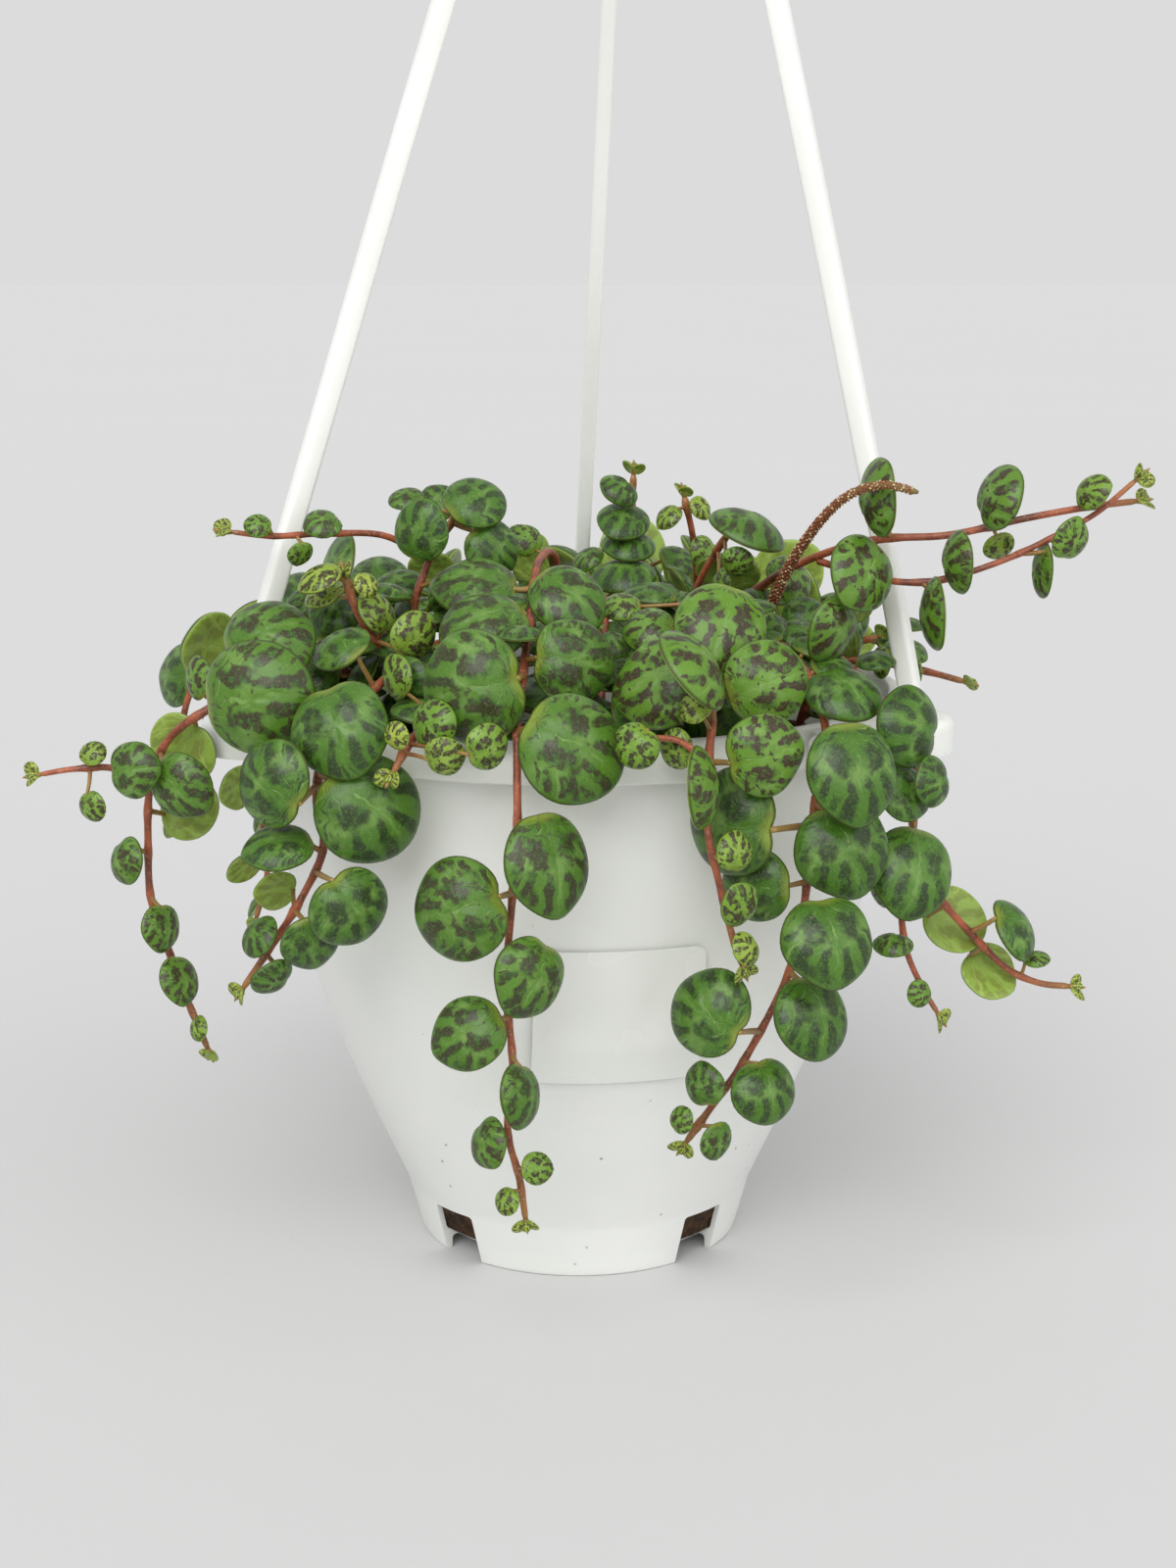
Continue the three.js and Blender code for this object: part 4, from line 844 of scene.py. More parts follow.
def cleaned(mesh):
    """The mesh made smooth, its doubles merged and its faces turned outward."""
    with edited(mesh) as work:
        bmesh.ops.remove_doubles(work, verts=work.verts, dist=1e-7)
        bmesh.ops.recalc_face_normals(work, faces=work.faces)
    mesh.polygons.foreach_set("use_smooth", [True] * len(mesh.polygons))
    return mesh


def in_scene(name, data):
    """A new object of the scene."""
    made = bpy.data.objects.new(name, data)
    bpy.context.scene.collection.objects.link(made)
    return made


def collected(name, meshes):
    """A collection of objects of the meshes, for Geometry Nodes to pick from."""
    collection = bpy.data.collections.new(name)
    for mesh in meshes:
        collection.objects.link(bpy.data.objects.new(mesh.name, mesh))
    return collection


def delete_objects(objects):
    for item in list(objects):
        bpy.data.objects.remove(item)


def ring_faces(rings, sides, closed_ends=True):
    """Faces of a tube whose points go round ring by ring."""
    faces = []
    for k in range(rings - 1):
        for i in range(sides):
            j = (i + 1) % sides
            faces.append((k * sides + i, k * sides + j, (k + 1) * sides + j, (k + 1) * sides + i))
    if closed_ends:
        faces.append(tuple(reversed(range(sides))))
        faces.append(tuple((rings - 1) * sides + i for i in range(sides)))
    return faces


def frames_along(places):
    """Two directions across the path at each place, turned as little as possible between them."""
    tangents = np.gradient(places, axis=0)
    tangents /= np.linalg.norm(tangents, axis=1)[:, None]
    side = np.cross(tangents[0], vec(0, 0, 1))
    if np.linalg.norm(side) < 0.1:
        side = vec(1, 0, 0)
    sides, ups = [], []
    for tangent in tangents:
        side = unit(side - tangent * (side @ tangent))
        sides.append(side)
        ups.append(np.cross(tangent, side))
    return np.array(sides), np.array(ups)


def tube(shape, places, radii, sides, tones=0.0):
    """A closed tube along the places, with a radius at each."""
    across, up = frames_along(places)
    angles = np.linspace(0, 2 * np.pi, sides, endpoint=False)
    circle = np.cos(angles)[:, None, None] * across + np.sin(angles)[:, None, None] * up
    points = places[None] + circle * np.asarray(radii)[None, :, None]
    points = points.transpose(1, 0, 2).reshape(-1, 3)
    rounds = np.repeat(np.broadcast_to(tones, len(places)), sides)
    shape.add(points, ring_faces(len(places), sides), rounds)


def filleted(corners, radii, steps=6):
    """The outline with each inner corner rounded to about its radius."""
    points = [corners[0]]
    for before, corner, after, radius in zip(corners, corners[1:], corners[2:], radii[1:]):
        corner = Vector(corner)
        back, on = Vector(before) - corner, Vector(after) - corner
        reach = min(radius, back.length * 0.48, on.length * 0.48)
        start, end = corner + back.normalized() * reach, corner + on.normalized() * reach
        for k in range(steps + 1):
            t = k / steps
            points.append(tuple(start * (1 - t) ** 2 + corner * 2 * t * (1 - t) + end * t * t))
    points.append(corners[-1])
    return points


def turned_mesh(name, profile, sides):
    """Closed mesh turned about the pot's axis. The profile starts and ends on the axis."""
    points, faces = [], []
    for radius, height in profile[1:-1]:
        for i in range(sides):
            points.append(on_axis(radius, 360 * i / sides, height))
    faces = ring_faces(len(profile) - 2, sides, closed_ends=False)
    first, last = len(points), len(points) + 1
    points += [vec(0, 0, profile[0][1]), vec(0, 0, profile[-1][1])]
    top = (len(profile) - 3) * sides
    for i in range(sides):
        j = (i + 1) % sides
        faces.append((first, j, i))
        faces.append((last, top + i, top + j))
    mesh = bpy.data.meshes.new(name)
    mesh.from_pydata([tuple(point) for point in points], [], faces)
    return mesh


def extruded_mesh(name, outline, bottom, top, bevel=0.0):
    """Closed mesh of a flat outline raised from bottom to top, with its top edge rounded."""
    points = [(x, y, z) for z in (bottom, top) for x, y in outline]
    mesh = bpy.data.meshes.new(name)
    mesh.from_pydata(points, [], ring_faces(2, len(outline)))
    if bevel:
        with edited(mesh) as work:
            bmesh.ops.recalc_face_normals(work, faces=work.faces)
            edges = [edge for edge in work.edges if all(v.co.z > top - 1e-6 for v in edge.verts)]
            bmesh.ops.bevel(work, geom=edges, offset=bevel, segments=4, profile=0.5, affect="EDGES")
    return mesh


def combined(first, second, operation):
    """The two meshes joined or cut, as one mesh."""
    a, b = in_scene("first", first), in_scene("second", second)
    cutter = a.modifiers.new("combine", "BOOLEAN")
    cutter.object, cutter.operation, cutter.solver = b, operation, "EXACT"
    graph = bpy.context.evaluated_depsgraph_get()
    mesh = bpy.data.meshes.new_from_object(a.evaluated_get(graph), depsgraph=graph)
    delete_objects((a, b))
    return mesh


def sharpened(piece, angle=35):
    """Smooth shading that stays crisp where faces meet at more than the angle."""
    with edited(piece.data) as work:
        for edge in work.edges:
            crisp = edge.calc_face_angle(0) >= math.radians(angle)
            edge.smooth = len(edge.link_faces) == 2 and not crisp
    return piece


def finish_piece(piece, slot, *nodes):
    """What the piece moves with, which solids it stands for, and its slot."""
    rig.ride(piece, "root")
    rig.replaces(piece, *nodes)
    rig.slot(piece, slot)


# Node materials

def linear(red, green, blue):
    """Colour as the screen shows it, 0 to 255, in the shader's own scale."""
    return tuple((value / 255) ** 2.2 for value in (red, green, blue)) + (1.0,)


class Surface:
    """A node material with short names for the nodes that are used here."""

    def __init__(self, name, **sockets):
        self.material = bpy.data.materials.new(name)
        self.material.use_nodes = True
        self.tree = self.material.node_tree
        self.shader = self.tree.nodes["Principled BSDF"]
        for socket, value in sockets.items():
            self.shader.inputs[socket.replace("_", " ")].default_value = value
        self.object = self.node("ShaderNodeTexCoord").outputs["Object"]

    def node(self, kind, **settings):
        made = self.tree.nodes.new(kind)
        for setting, value in settings.items():
            setattr(made, setting, value)
        return made

    def put(self, socket, value):
        """A link where the value is another node's output, or else the value itself."""
        if isinstance(value, bpy.types.NodeSocket):
            self.tree.links.new(value, socket)
        else:
            socket.default_value = value

    def math(self, operation, *values):
        made = self.node("ShaderNodeMath", operation=operation)
        for socket, value in zip(made.inputs, values):
            self.put(socket, value)
        return made.outputs[0]

    def times(self, first, second):
        return self.math("MULTIPLY", first, second)

    def length(self, first, second):
        """Length of the straight line across a right angle with these two sides."""
        square = self.math("ADD", self.math("POWER", first, 2.0), self.math("POWER", second, 2.0))
        return self.math("SQRT", square)

    def step(self, value, low, high, start=0.0, end=1.0):
        """Smooth step from start to end as the value goes from low to high."""
        made = self.node("ShaderNodeMapRange", interpolation_type="SMOOTHSTEP")
        for socket, number in zip(made.inputs, (value, low, high, start, end)):
            self.put(socket, number)
        return made.outputs[0]

    def mix(self, share, first, second):
        made = self.node("ShaderNodeMix", data_type="RGBA")
        self.put(made.inputs[0], share)
        self.put(made.inputs[6], first)
        self.put(made.inputs[7], second)
        return made.outputs[2]

    def noise(self, place, scale, detail=3.0, rough=0.5):
        made = self.node("ShaderNodeTexNoise")
        for socket, value in (("Vector", place), ("Scale", scale), ("Detail", detail),
                              ("Roughness", rough)):
            self.put(made.inputs[socket], value)
        return made.outputs["Fac"]

    def cells(self, place, scale):
        made = self.node("ShaderNodeTexVoronoi")
        self.put(made.inputs["Vector"], place)
        self.put(made.inputs["Scale"], scale)
        return made.outputs["Distance"]

    def attribute(self, name):
        return self.node("ShaderNodeAttribute", attribute_name=name).outputs["Fac"]

    def vector(self, x, y, z):
        made = self.node("ShaderNodeCombineXYZ")
        for socket, value in zip(made.inputs, (x, y, z)):
            self.put(socket, value)
        return made.outputs[0]

    def parts(self, vector):
        made = self.node("ShaderNodeSeparateXYZ")
        self.put(made.inputs[0], vector)
        return made.outputs

    def bump(self, height, distance, strength=1.0):
        made = self.node("ShaderNodeBump")
        made.inputs["Distance"].default_value = distance
        made.inputs["Strength"].default_value = strength
        self.put(made.inputs["Height"], height)
        self.put(self.shader.inputs["Normal"], made.outputs[0])

    def finished(self, colour, rough, height, distance, strength=1.0):
        """The material with its colour, roughness and bumps."""
        self.put(self.shader.inputs["Base Color"], colour)
        self.put(self.shader.inputs["Roughness"], rough)
        self.bump(height, distance, strength)
        return self.material


def wavy_place(s, u, v, own, other):
    """Place from the blade's middle, made wavy so that no two leaves have the same edges."""
    wave_x = s.math("SUBTRACT", s.noise(own, 3.6, 3.0, 0.55), 0.5)
    wave_y = s.math("SUBTRACT", s.noise(other, 3.6, 3.0, 0.55), 0.5)
    x = s.math("MULTIPLY_ADD", wave_x, 0.26, s.math("SUBTRACT", u, 0.5))
    y = s.math("MULTIPLY_ADD", wave_y, 0.26, s.math("SUBTRACT", v, 0.5))
    return x, y


def dark_share(s, x, y, fan, away, reach, seed):
    """Two blotches by the base, bars that fan out towards the tip, and streaks by the margin."""
    along = s.math("DIVIDE", s.math("SUBTRACT", x, -0.1), 0.19)
    across = s.math("DIVIDE", s.math("SUBTRACT", s.math("ABSOLUTE", y), 0.19), 0.125)
    blotch = s.step(s.length(along, across), 1.35, 0.45)
    bars = s.step(s.math("COSINE", s.times(fan, 19.0)), 0.45, -0.7)
    bars = s.times(bars, s.step(away, 0.5, 0.64))
    streaks = s.step(s.noise(s.vector(s.times(fan, 5.2), seed, y), 1.9, 1.0), 0.47, 0.6)
    streaks = s.times(streaks, s.step(reach, 0.62, 0.8))
    dark = s.math("MAXIMUM", blotch, s.math("MAXIMUM", bars, s.times(streaks, 0.8)))
    return s.times(dark, s.step(reach, 1.0, 0.9))


def broken_up(s, dark, own, other, youth):
    """The dark share in soft patches, and where in these the small crisp brown ones are."""
    patches = s.math("SUBTRACT", s.noise(own, 7.0, 2.0, 0.5), 0.5)
    pieces = s.math("SUBTRACT", s.noise(other, 12.0, 1.0, 0.5), 0.5)
    dark = s.math("MULTIPLY_ADD", patches, 1.3, dark)
    cores = s.step(s.math("MULTIPLY_ADD", pieces, 4.2, dark), 0.62, 0.86)
    dark = s.math("MULTIPLY_ADD", pieces, 1.3, dark)
    return s.step(dark, 0.08, s.step(youth, 0.0, 0.45, 1.15, 0.95)), cores


def vein_shares(s, own, fan, away):
    """The midrib and the veins beside it, alone and with a paler middle where they part."""
    lines = s.step(s.math("ABSOLUTE", s.math("SINE", s.times(fan, 4.75))), 0.26, 0.03)
    lines = s.times(lines, s.step(away, 1.0, 0.5))
    middle = s.times(s.step(away, 0.34, 0.5), s.step(away, 0.68, 0.52))
    veins = s.math("MAXIMUM", lines, s.times(middle, 0.7))
    return lines, s.times(veins, s.step(s.noise(own, 5.0, 2.0), 0.3, 0.6))


def upper_colour(s, own, youth, tint, veins, dark, cores):
    """Colour of the upper side, paler with browner blotches on a young leaf, and its light green."""
    lively = s.step(youth, 0.5, 1.0)
    green = s.mix(tint, linear(50, 86, 16), linear(80, 118, 42))
    green = s.mix(s.step(youth, 0.1, 0.6), green, linear(98, 136, 42))
    green = s.mix(lively, green, linear(142, 160, 60))
    light = s.mix(lively, linear(122, 154, 82), linear(178, 190, 92))
    shade = s.mix(s.noise(own, 9.0), linear(16, 40, 12), linear(40, 60, 34))
    shade = s.mix(s.step(youth, 0.1, 0.5), shade, linear(50, 74, 30))
    colour = s.mix(s.times(veins, 0.6), green, light)
    colour = s.mix(s.times(dark, s.step(youth, 0.1, 0.5, 0.9, 0.7)), colour, shade)
    brown_share = s.times(cores, s.step(youth, 0.0, 0.4, 0.15, 0.9))
    return s.mix(brown_share, colour, linear(58, 40, 34)), light


def under_colour(s, tint, dark, lines):
    """Pale, with the blotches and the veins faintly through it."""
    back = s.mix(tint, linear(116, 146, 52), linear(154, 178, 88))
    back = s.mix(s.times(dark, 0.45), back, linear(96, 88, 40))
    return s.mix(s.times(lines, 0.35), back, linear(178, 192, 112))


def leaf_material():
    """Fleshy leaf: two dark blotches by the base, dark bars towards the tip, pale veins between."""
    s = Surface("leaf", Subsurface_Weight=0.1, Subsurface_Scale=0.001, Coat_Weight=0.12,
                Coat_Roughness=0.24, Specular_IOR_Level=0.3)
    s.shader.inputs["Subsurface Radius"].default_value = (0.6, 1.0, 0.25)
    u, v, _ = s.parts(s.node("ShaderNodeUVMap", uv_map="leaf_uv").outputs[0])
    youth = s.attribute("leaf_youth")
    seed = s.times(s.attribute("leaf_random"), 61.0)
    own, other = s.vector(u, v, seed), s.vector(v, u, s.math("ADD", seed, 17.0))
    reach = edge_distance(s, u, v)
    x, y = wavy_place(s, u, v, own, other)

    # Veins fan out from the base, by their angle and their distance from it
    side, ahead = s.math("ABSOLUTE", y), s.math("ADD", x, 0.46)
    fan, away = s.math("ARCTAN2", side, ahead), s.length(ahead, side)
    dark, cores = broken_up(s, dark_share(s, x, y, fan, away, reach, seed), own, other, youth)
    lines, veins = vein_shares(s, own, fan, away)

    # Paler base, fine pale specks of painted glint over the skin, thin dark edge, and then the underside
    grain_with_glints, tint = s.noise(s.object, 2600.0, 2.0, 0.6), s.noise(s.object, 48.0, 2.0)
    colour, light = upper_colour(s, own, youth, tint, veins, dark, cores)
    colour = s.mix(s.step(u, 0.13, 0.0, 0.0, 0.65), colour, linear(146, 156, 62))
    # Painted glints: fine pale specks mixed into the colour stand for the sparkle of the glossy skin; the same noise
    # also varies the roughness
    colour = s.mix(s.step(grain_with_glints, 0.48, 0.74, 0.0, 0.26), colour, light)
    colour = s.mix(s.step(reach, 0.965, 0.995, 0.0, 0.8), colour, linear(58, 58, 26))
    colour = s.mix(s.attribute("underside"), colour, under_colour(s, tint, dark, lines))

    # A few dry scars
    scar = s.noise(s.vector(u, v, s.math("ADD", seed, 40.0)), 3.4, 5.0, 0.7)
    colour = s.mix(s.step(scar, 0.7, 0.75, 0.0, 0.7), colour, linear(128, 118, 88))
    height = s.math("MULTIPLY_ADD", s.noise(s.object, 900.0, 3.0), 0.5, s.times(veins, -0.6))
    return s.finished(colour, s.step(grain_with_glints, 0.3, 0.7, 0.3, 0.46), height, 0.00025, 0.8)


def edge_distance(s, u, v):
    """0 in the middle of the blade and 1 on its margin."""
    return s.times(s.length(s.math("SUBTRACT", u, 0.5), s.math("SUBTRACT", v, 0.5)), 2.0)


def stem_material():
    """Reddish brown skin, greener towards the tip. The tone runs from root 0 to tip 1."""
    s = Surface("stem", Subsurface_Weight=0.08, Subsurface_Scale=0.0008, Coat_Weight=0.1,
                Coat_Roughness=0.35)
    tone = s.attribute("tone")
    patch = s.noise(s.object, 240.0, 3.0)
    brown = s.mix(s.step(patch, 0.35, 0.65), linear(110, 56, 36), linear(164, 88, 58))
    tip = s.mix(patch, linear(150, 92, 54), linear(130, 130, 58))
    colour = s.mix(s.step(tone, 0.82, 1.0), brown, tip)
    fleck = s.step(s.noise(s.object, 1800.0, 2.0), 0.58, 0.7, 0.0, 0.3)
    colour = s.mix(fleck, colour, linear(206, 168, 140))
    rough = s.step(patch, 0.3, 0.7, 0.36, 0.55)
    return s.finished(colour, rough, s.noise(s.object, 1500.0, 3.0), 0.00015)


def spike_material():
    """Reddish brown, more olive at the tip."""
    s = Surface("spike", Subsurface_Weight=0.08, Subsurface_Scale=0.0006)
    tone = s.attribute("tone")
    patch = s.noise(s.object, 900.0, 3.0)
    brown = s.mix(patch, linear(98, 52, 38), linear(146, 84, 58))
    colour = s.mix(s.step(tone, 0.7, 1.0), brown, linear(112, 94, 50))
    return s.finished(colour, s.step(patch, 0.3, 0.7, 0.4, 0.6), patch, 0.0002)


def floret_material():
    """Reddish brown, with a cream floret here and there."""
    s = Surface("florets")
    cream = s.step(s.noise(s.object, 1100.0, 1.0), 0.54, 0.62)
    colour = s.mix(cream, linear(128, 72, 44), linear(214, 192, 148))
    return s.finished(colour, 0.5, s.noise(s.object, 2400.0, 2.0), 0.0001)


def plastic_material(name, light, dark, specks):
    """Slightly cloudy white plastic with faint smudges and a little dirt."""
    s = Surface(name, Subsurface_Weight=0.25, Subsurface_Scale=0.004, Specular_IOR_Level=0.5)
    s.shader.inputs["Subsurface Radius"].default_value = (1.0, 1.0, 0.9)
    cloud = s.noise(s.object, 22.0, 4.0)
    colour = s.mix(s.step(cloud, 0.3, 0.75), dark, light)
    spot = s.step(s.cells(s.object, 240.0), 0.1, 0.05)
    few = s.step(s.noise(s.object, 55.0, 3.0), 0.5, 0.64)
    dirt = s.times(s.times(spot, few), specks)
    colour = s.mix(dirt, colour, linear(120, 116, 100))
    rough = s.step(s.noise(s.object, 90.0, 5.0), 0.3, 0.7, 0.3, 0.42)
    return s.finished(colour, rough, s.noise(s.object, 420.0, 3.0), 0.00006)


def film_material():
    """Clear film: almost unseen, a little whiter and glossier than the pot."""
    s = Surface("label film", Coat_Weight=0.5, Coat_Roughness=0.12)
    cloud = s.noise(s.object, 40.0, 3.0)
    colour = s.mix(cloud, linear(221, 223, 218), linear(226, 227, 223))
    rough = s.step(cloud, 0.3, 0.7, 0.2, 0.3)
    return s.finished(colour, rough, s.noise(s.object, 300.0, 2.0), 0.00003)


def soil_material():
    """Dark crumbs with paler fibres."""
    s = Surface("soil", Specular_IOR_Level=0.2)
    lump = s.noise(s.object, 320.0, 5.0, 0.65)
    fibre = s.noise(s.object, 1500.0, 3.0)
    colour = s.mix(s.step(lump, 0.3, 0.7), linear(34, 24, 17), linear(92, 68, 48))
    colour = s.mix(s.step(fibre, 0.62, 0.72, 0.0, 0.6), colour, linear(140, 112, 82))
    return s.finished(colour, s.step(lump, 0.3, 0.7, 0.8, 1.0), lump, 0.0012)


def floor_material():
    """Even pale grey."""
    s = Surface("floor", Roughness=0.75)
    cloud = s.noise(s.object, 1.5, 2.0)
    colour = s.mix(cloud, linear(200, 200, 200), linear(202, 202, 202))
    s.put(s.shader.inputs["Base Color"], colour)
    return s.material


# Leaves: a set of blades, which the plant's places then take

def blade_radius(angle, form):
    """Distance of the margin from the middle, with the notch at the base and the tip's point."""
    round_part = 0.5 * (1 + 0.03 * np.cos(angle) + form["oval"] * np.cos(2 * angle))
    away = np.abs((angle + np.pi) % (2 * np.pi) - np.pi)
    notch = form["notch"] * np.exp(-((np.pi - away) / 0.22) ** 2)
    point = form["point"] * np.exp(-(away / 0.3) ** 2)
    wobble = form["wobble"] * (np.sin(3 * angle + 1) + 0.6 * np.sin(5 * angle + 2.2)) / 2
    return round_part - notch + point + wobble


def blade_heights(share, angle, form):
    """Heights of the upper and lower side over the margin, in blade widths."""
    x, y = share * np.cos(angle) / 2, share * np.sin(angle) / 2
    upper = BLADE_DOME * form["dome"] * (1 - share ** 2) ** 0.68
    midrib = np.exp(-(y / 0.035) ** 2) * (x < 0.28)
    lobe = np.hypot((x + 0.1) / 0.19, (np.abs(y) - 0.185) / 0.125)
    vein = np.maximum(midrib, 0.8 * np.exp(-((lobe - 1.15) / 0.2) ** 2))
    upper = upper - VEIN_DEPTH * vein * (1 - share ** 4)
    lower = -BACK_BULGE * (1 - share ** 6) ** 0.5 + BACK_HOLLOW * (1 - share ** 2) ** 2
    return upper, lower + 0 * x


def leaf_blade(name, rings, spokes, form):
    """One closed blade, 1 wide, its base at -X, its upper side +Z, with the place on it as UV."""
    angles = np.linspace(0, 2 * np.pi, spokes, endpoint=False)
    points, places, under = [], [], []

    def add_ring(share, lower):
        radius = blade_radius(angles, form) * share
        height = blade_heights(share, angles, form)[1 if lower else 0]
        for angle, reach, rise in zip(angles, radius, height):
            points.append((reach * math.cos(angle), reach * math.sin(angle), rise))
            places.append((0.5 + share * math.cos(angle) / 2, 0.5 + share * math.sin(angle) / 2))
            under.append(1.0 if lower else 0.0)

    shares = np.sin(np.pi / 2 * np.arange(1, rings + 1) / rings)
    for share in shares:
        add_ring(share, lower=False)
    for share in shares[-2::-1]:
        add_ring(share, lower=True)
    faces = ring_faces(2 * rings - 1, spokes, closed_ends=False)
    for middle, ring, lower in ((len(points), 0, False), (len(points) + 1, 2 * rings - 2, True)):
        height = blade_heights(0.0, 0.0, form)[1 if lower else 0]
        points.append((0, 0, height))
        places.append((0.5, 0.5))
        under.append(1.0 if lower else 0.0)
        for i in range(spokes):
            j = (i + 1) % spokes
            faces.append((middle, ring * spokes + i, ring * spokes + j))
    mesh = bpy.data.meshes.new(name)
    mesh.from_pydata(points, [], faces)
    uv = mesh.uv_layers.new(name="leaf_uv")
    corners = [places[loop.vertex_index] for loop in mesh.loops]
    uv.data.foreach_set("uv", [number for place in corners for number in place])
    mesh.attributes.new("underside", "FLOAT", "POINT").data.foreach_set("value", under)
    return cleaned(mesh)


def leaf_collection():
    return collected("blades", [leaf_blade(f"blade_{level}{number}", rings, spokes, form)
                                for level, (_, rings, spokes) in enumerate(LEAF_DETAIL)
                                for number, form in enumerate(LEAF_SHAPES)])


def placing_tree(name, collection, material):
    """Geometry nodes that set a piece from the collection on every point of a mesh."""
    tree = bpy.data.node_groups.new(name, "GeometryNodeTree")
    inputs = {}
    tree.interface.new_socket("Geometry", in_out="INPUT", socket_type="NodeSocketGeometry")
    for label, kind in (("Size", "Float"), ("Tilt", "Float"), ("Seed", "Int")):
        socket = tree.interface.new_socket(label, in_out="INPUT", socket_type=f"NodeSocket{kind}")
        inputs[label] = socket.identifier
    tree.interface.new_socket("Geometry", in_out="OUTPUT", socket_type="NodeSocketGeometry")
    link = tree.links.new

    def node(kind, **settings):
        made = tree.nodes.new(kind)
        for setting, value in settings.items():
            setattr(made, setting, value)
        return made

    def stored(label):
        kind = VALUE_KINDS.get(label, "FLOAT")
        made = node("GeometryNodeInputNamedAttribute", data_type=kind)
        made.inputs["Name"].default_value = label
        return next(out for out in made.outputs if out.enabled and out.name == "Attribute")

    start, end = node("NodeGroupInput"), node("NodeGroupOutput")
    pick = node("GeometryNodeCollectionInfo")
    pick.inputs["Collection"].default_value = collection
    pick.inputs["Separate Children"].default_value = True
    pick.inputs["Reset Children"].default_value = True
    tilt = node("FunctionNodeRandomValue", data_type="FLOAT_VECTOR")
    link(start.outputs["Seed"], tilt.inputs["Seed"])
    for socket in tilt.inputs:
        if socket.enabled and socket.name == "Min":
            socket.default_value = (-1, -1, -1)
    tilted = node("ShaderNodeVectorMath", operation="SCALE")
    link(next(out for out in tilt.outputs if out.enabled), tilted.inputs[0])
    link(start.outputs["Tilt"], tilted.inputs["Scale"])
    turned = node("ShaderNodeVectorMath", operation="ADD")
    link(stored("turn"), turned.inputs[0])
    link(tilted.outputs[0], turned.inputs[1])
    sized = node("ShaderNodeMath", operation="MULTIPLY")
    link(stored("width"), sized.inputs[0])
    link(start.outputs["Size"], sized.inputs[1])
    place = node("GeometryNodeInstanceOnPoints")
    place.inputs["Pick Instance"].default_value = True
    link(start.outputs["Geometry"], place.inputs["Points"])
    link(pick.outputs[0], place.inputs["Instance"])
    link(stored("kind"), place.inputs["Instance Index"])
    link(turned.outputs[0], place.inputs["Rotation"])
    link(sized.outputs[0], place.inputs["Scale"])
    solid = node("GeometryNodeRealizeInstances")
    link(place.outputs[0], solid.inputs[0])
    coat = node("GeometryNodeSetMaterial")
    coat.inputs["Material"].default_value = material
    link(solid.outputs[0], coat.inputs["Geometry"])
    link(coat.outputs[0], end.inputs[0])
    return tree, inputs


def placed(name, points, values, tree, inputs, tilt, seed):
    """Plain mesh of the pieces that the tree sets on the points, their widths in millimetres."""
    mesh = bpy.data.meshes.new(name)
    mesh.from_pydata([tuple(point) for point in points], [], [])
    for label, data in values.items():
        kind = VALUE_KINDS.get(label, "FLOAT")
        target = mesh.attributes.new(label, kind, "POINT").data
        field = "vector" if kind == "FLOAT_VECTOR" else "value"
        target.foreach_set(field, np.array(data).ravel().tolist())
    carrier = in_scene(name, mesh)
    setter = carrier.modifiers.new("placing", "NODES")
    setter.node_group = tree
    for label, value in (("Size", MM), ("Tilt", tilt), ("Seed", seed)):
        setter[inputs[label]] = value
    graph = bpy.context.evaluated_depsgraph_get()
    made = bpy.data.meshes.new_from_object(carrier.evaluated_get(graph),
                                           preserve_all_data_layers=True, depsgraph=graph)
    delete_objects([carrier])
    return made


def joined(name, meshes):
    """One object of the meshes, which keeps their materials and attributes."""
    parts = [in_scene(name, mesh) for mesh in meshes]
    with bpy.context.temp_override(active_object=parts[0], object=parts[0],
                                   selected_editable_objects=parts, selected_objects=parts):
        bpy.ops.object.join()
    parts[0].name = name
    parts[0].data.name = name
    return parts[0]


# Plant

def turn_of(tip, normal):
    """Turn that sets a blade's tip and upper side these ways."""
    across = np.cross(normal, tip)
    matrix = Matrix((tip, across, normal)).transposed()
    return tuple(matrix.to_euler())


def leaf_values(leaves):
    """For each leaf: its turn, width and kind of blade, and the numbers that colour it."""
    values = {"turn": [], "width": [], "kind": [], "leaf_random": [], "leaf_youth": []}
    for tip, normal, size, youth, number in leaves:
        draw = seeded_draw(LEAF_SEED + 7 * number)
        draw()
        level = next(i for i, (least, _, _) in enumerate(LEAF_DETAIL) if size >= least)
        values["turn"].append(turn_of(tip, normal))
        values["width"].append(size)
        values["kind"].append(level * len(LEAF_SHAPES) + int(draw() * len(LEAF_SHAPES)))
        values["leaf_random"].append(draw())
        values["leaf_youth"].append(youth)
    return values


def stem_mesh(shape, shoot, leaves):
    """Stem with a swelling at each leaf, thinner and greener towards its tip."""
    count = max(8, round(shoot.curve.length / STALK_SPACING))
    places = shoot.curve.evenly(count)
    share = np.linspace(0, 1, count + 1)
    radius = STALK_RADIUS if shoot.root is not None else SIDE_STALK_RADIUS
    radii = radius * (1 - STALK_THINNING * share)
    for leaf in leaves:
        distance = np.linalg.norm(places - leaf.base, axis=1)
        radii = radii * (1 + JOINT_SWELLING * np.exp(-(distance / JOINT_LENGTH) ** 2))
    radii[-1] *= 0.7
    tube(shape, places * MM, radii * MM, 10, share * 0.92)
    tangent = unit(places[-1] - places[-3])
    bud_share = np.linspace(0, 1, 7)
    bud = places[-1] + np.outer((bud_share - 0.1) * TIP_BUD, tangent)
    tube(shape, bud * MM, 0.62 * np.sin(np.pi * (0.22 + 0.75 * bud_share)) * MM, 8, 1.0)


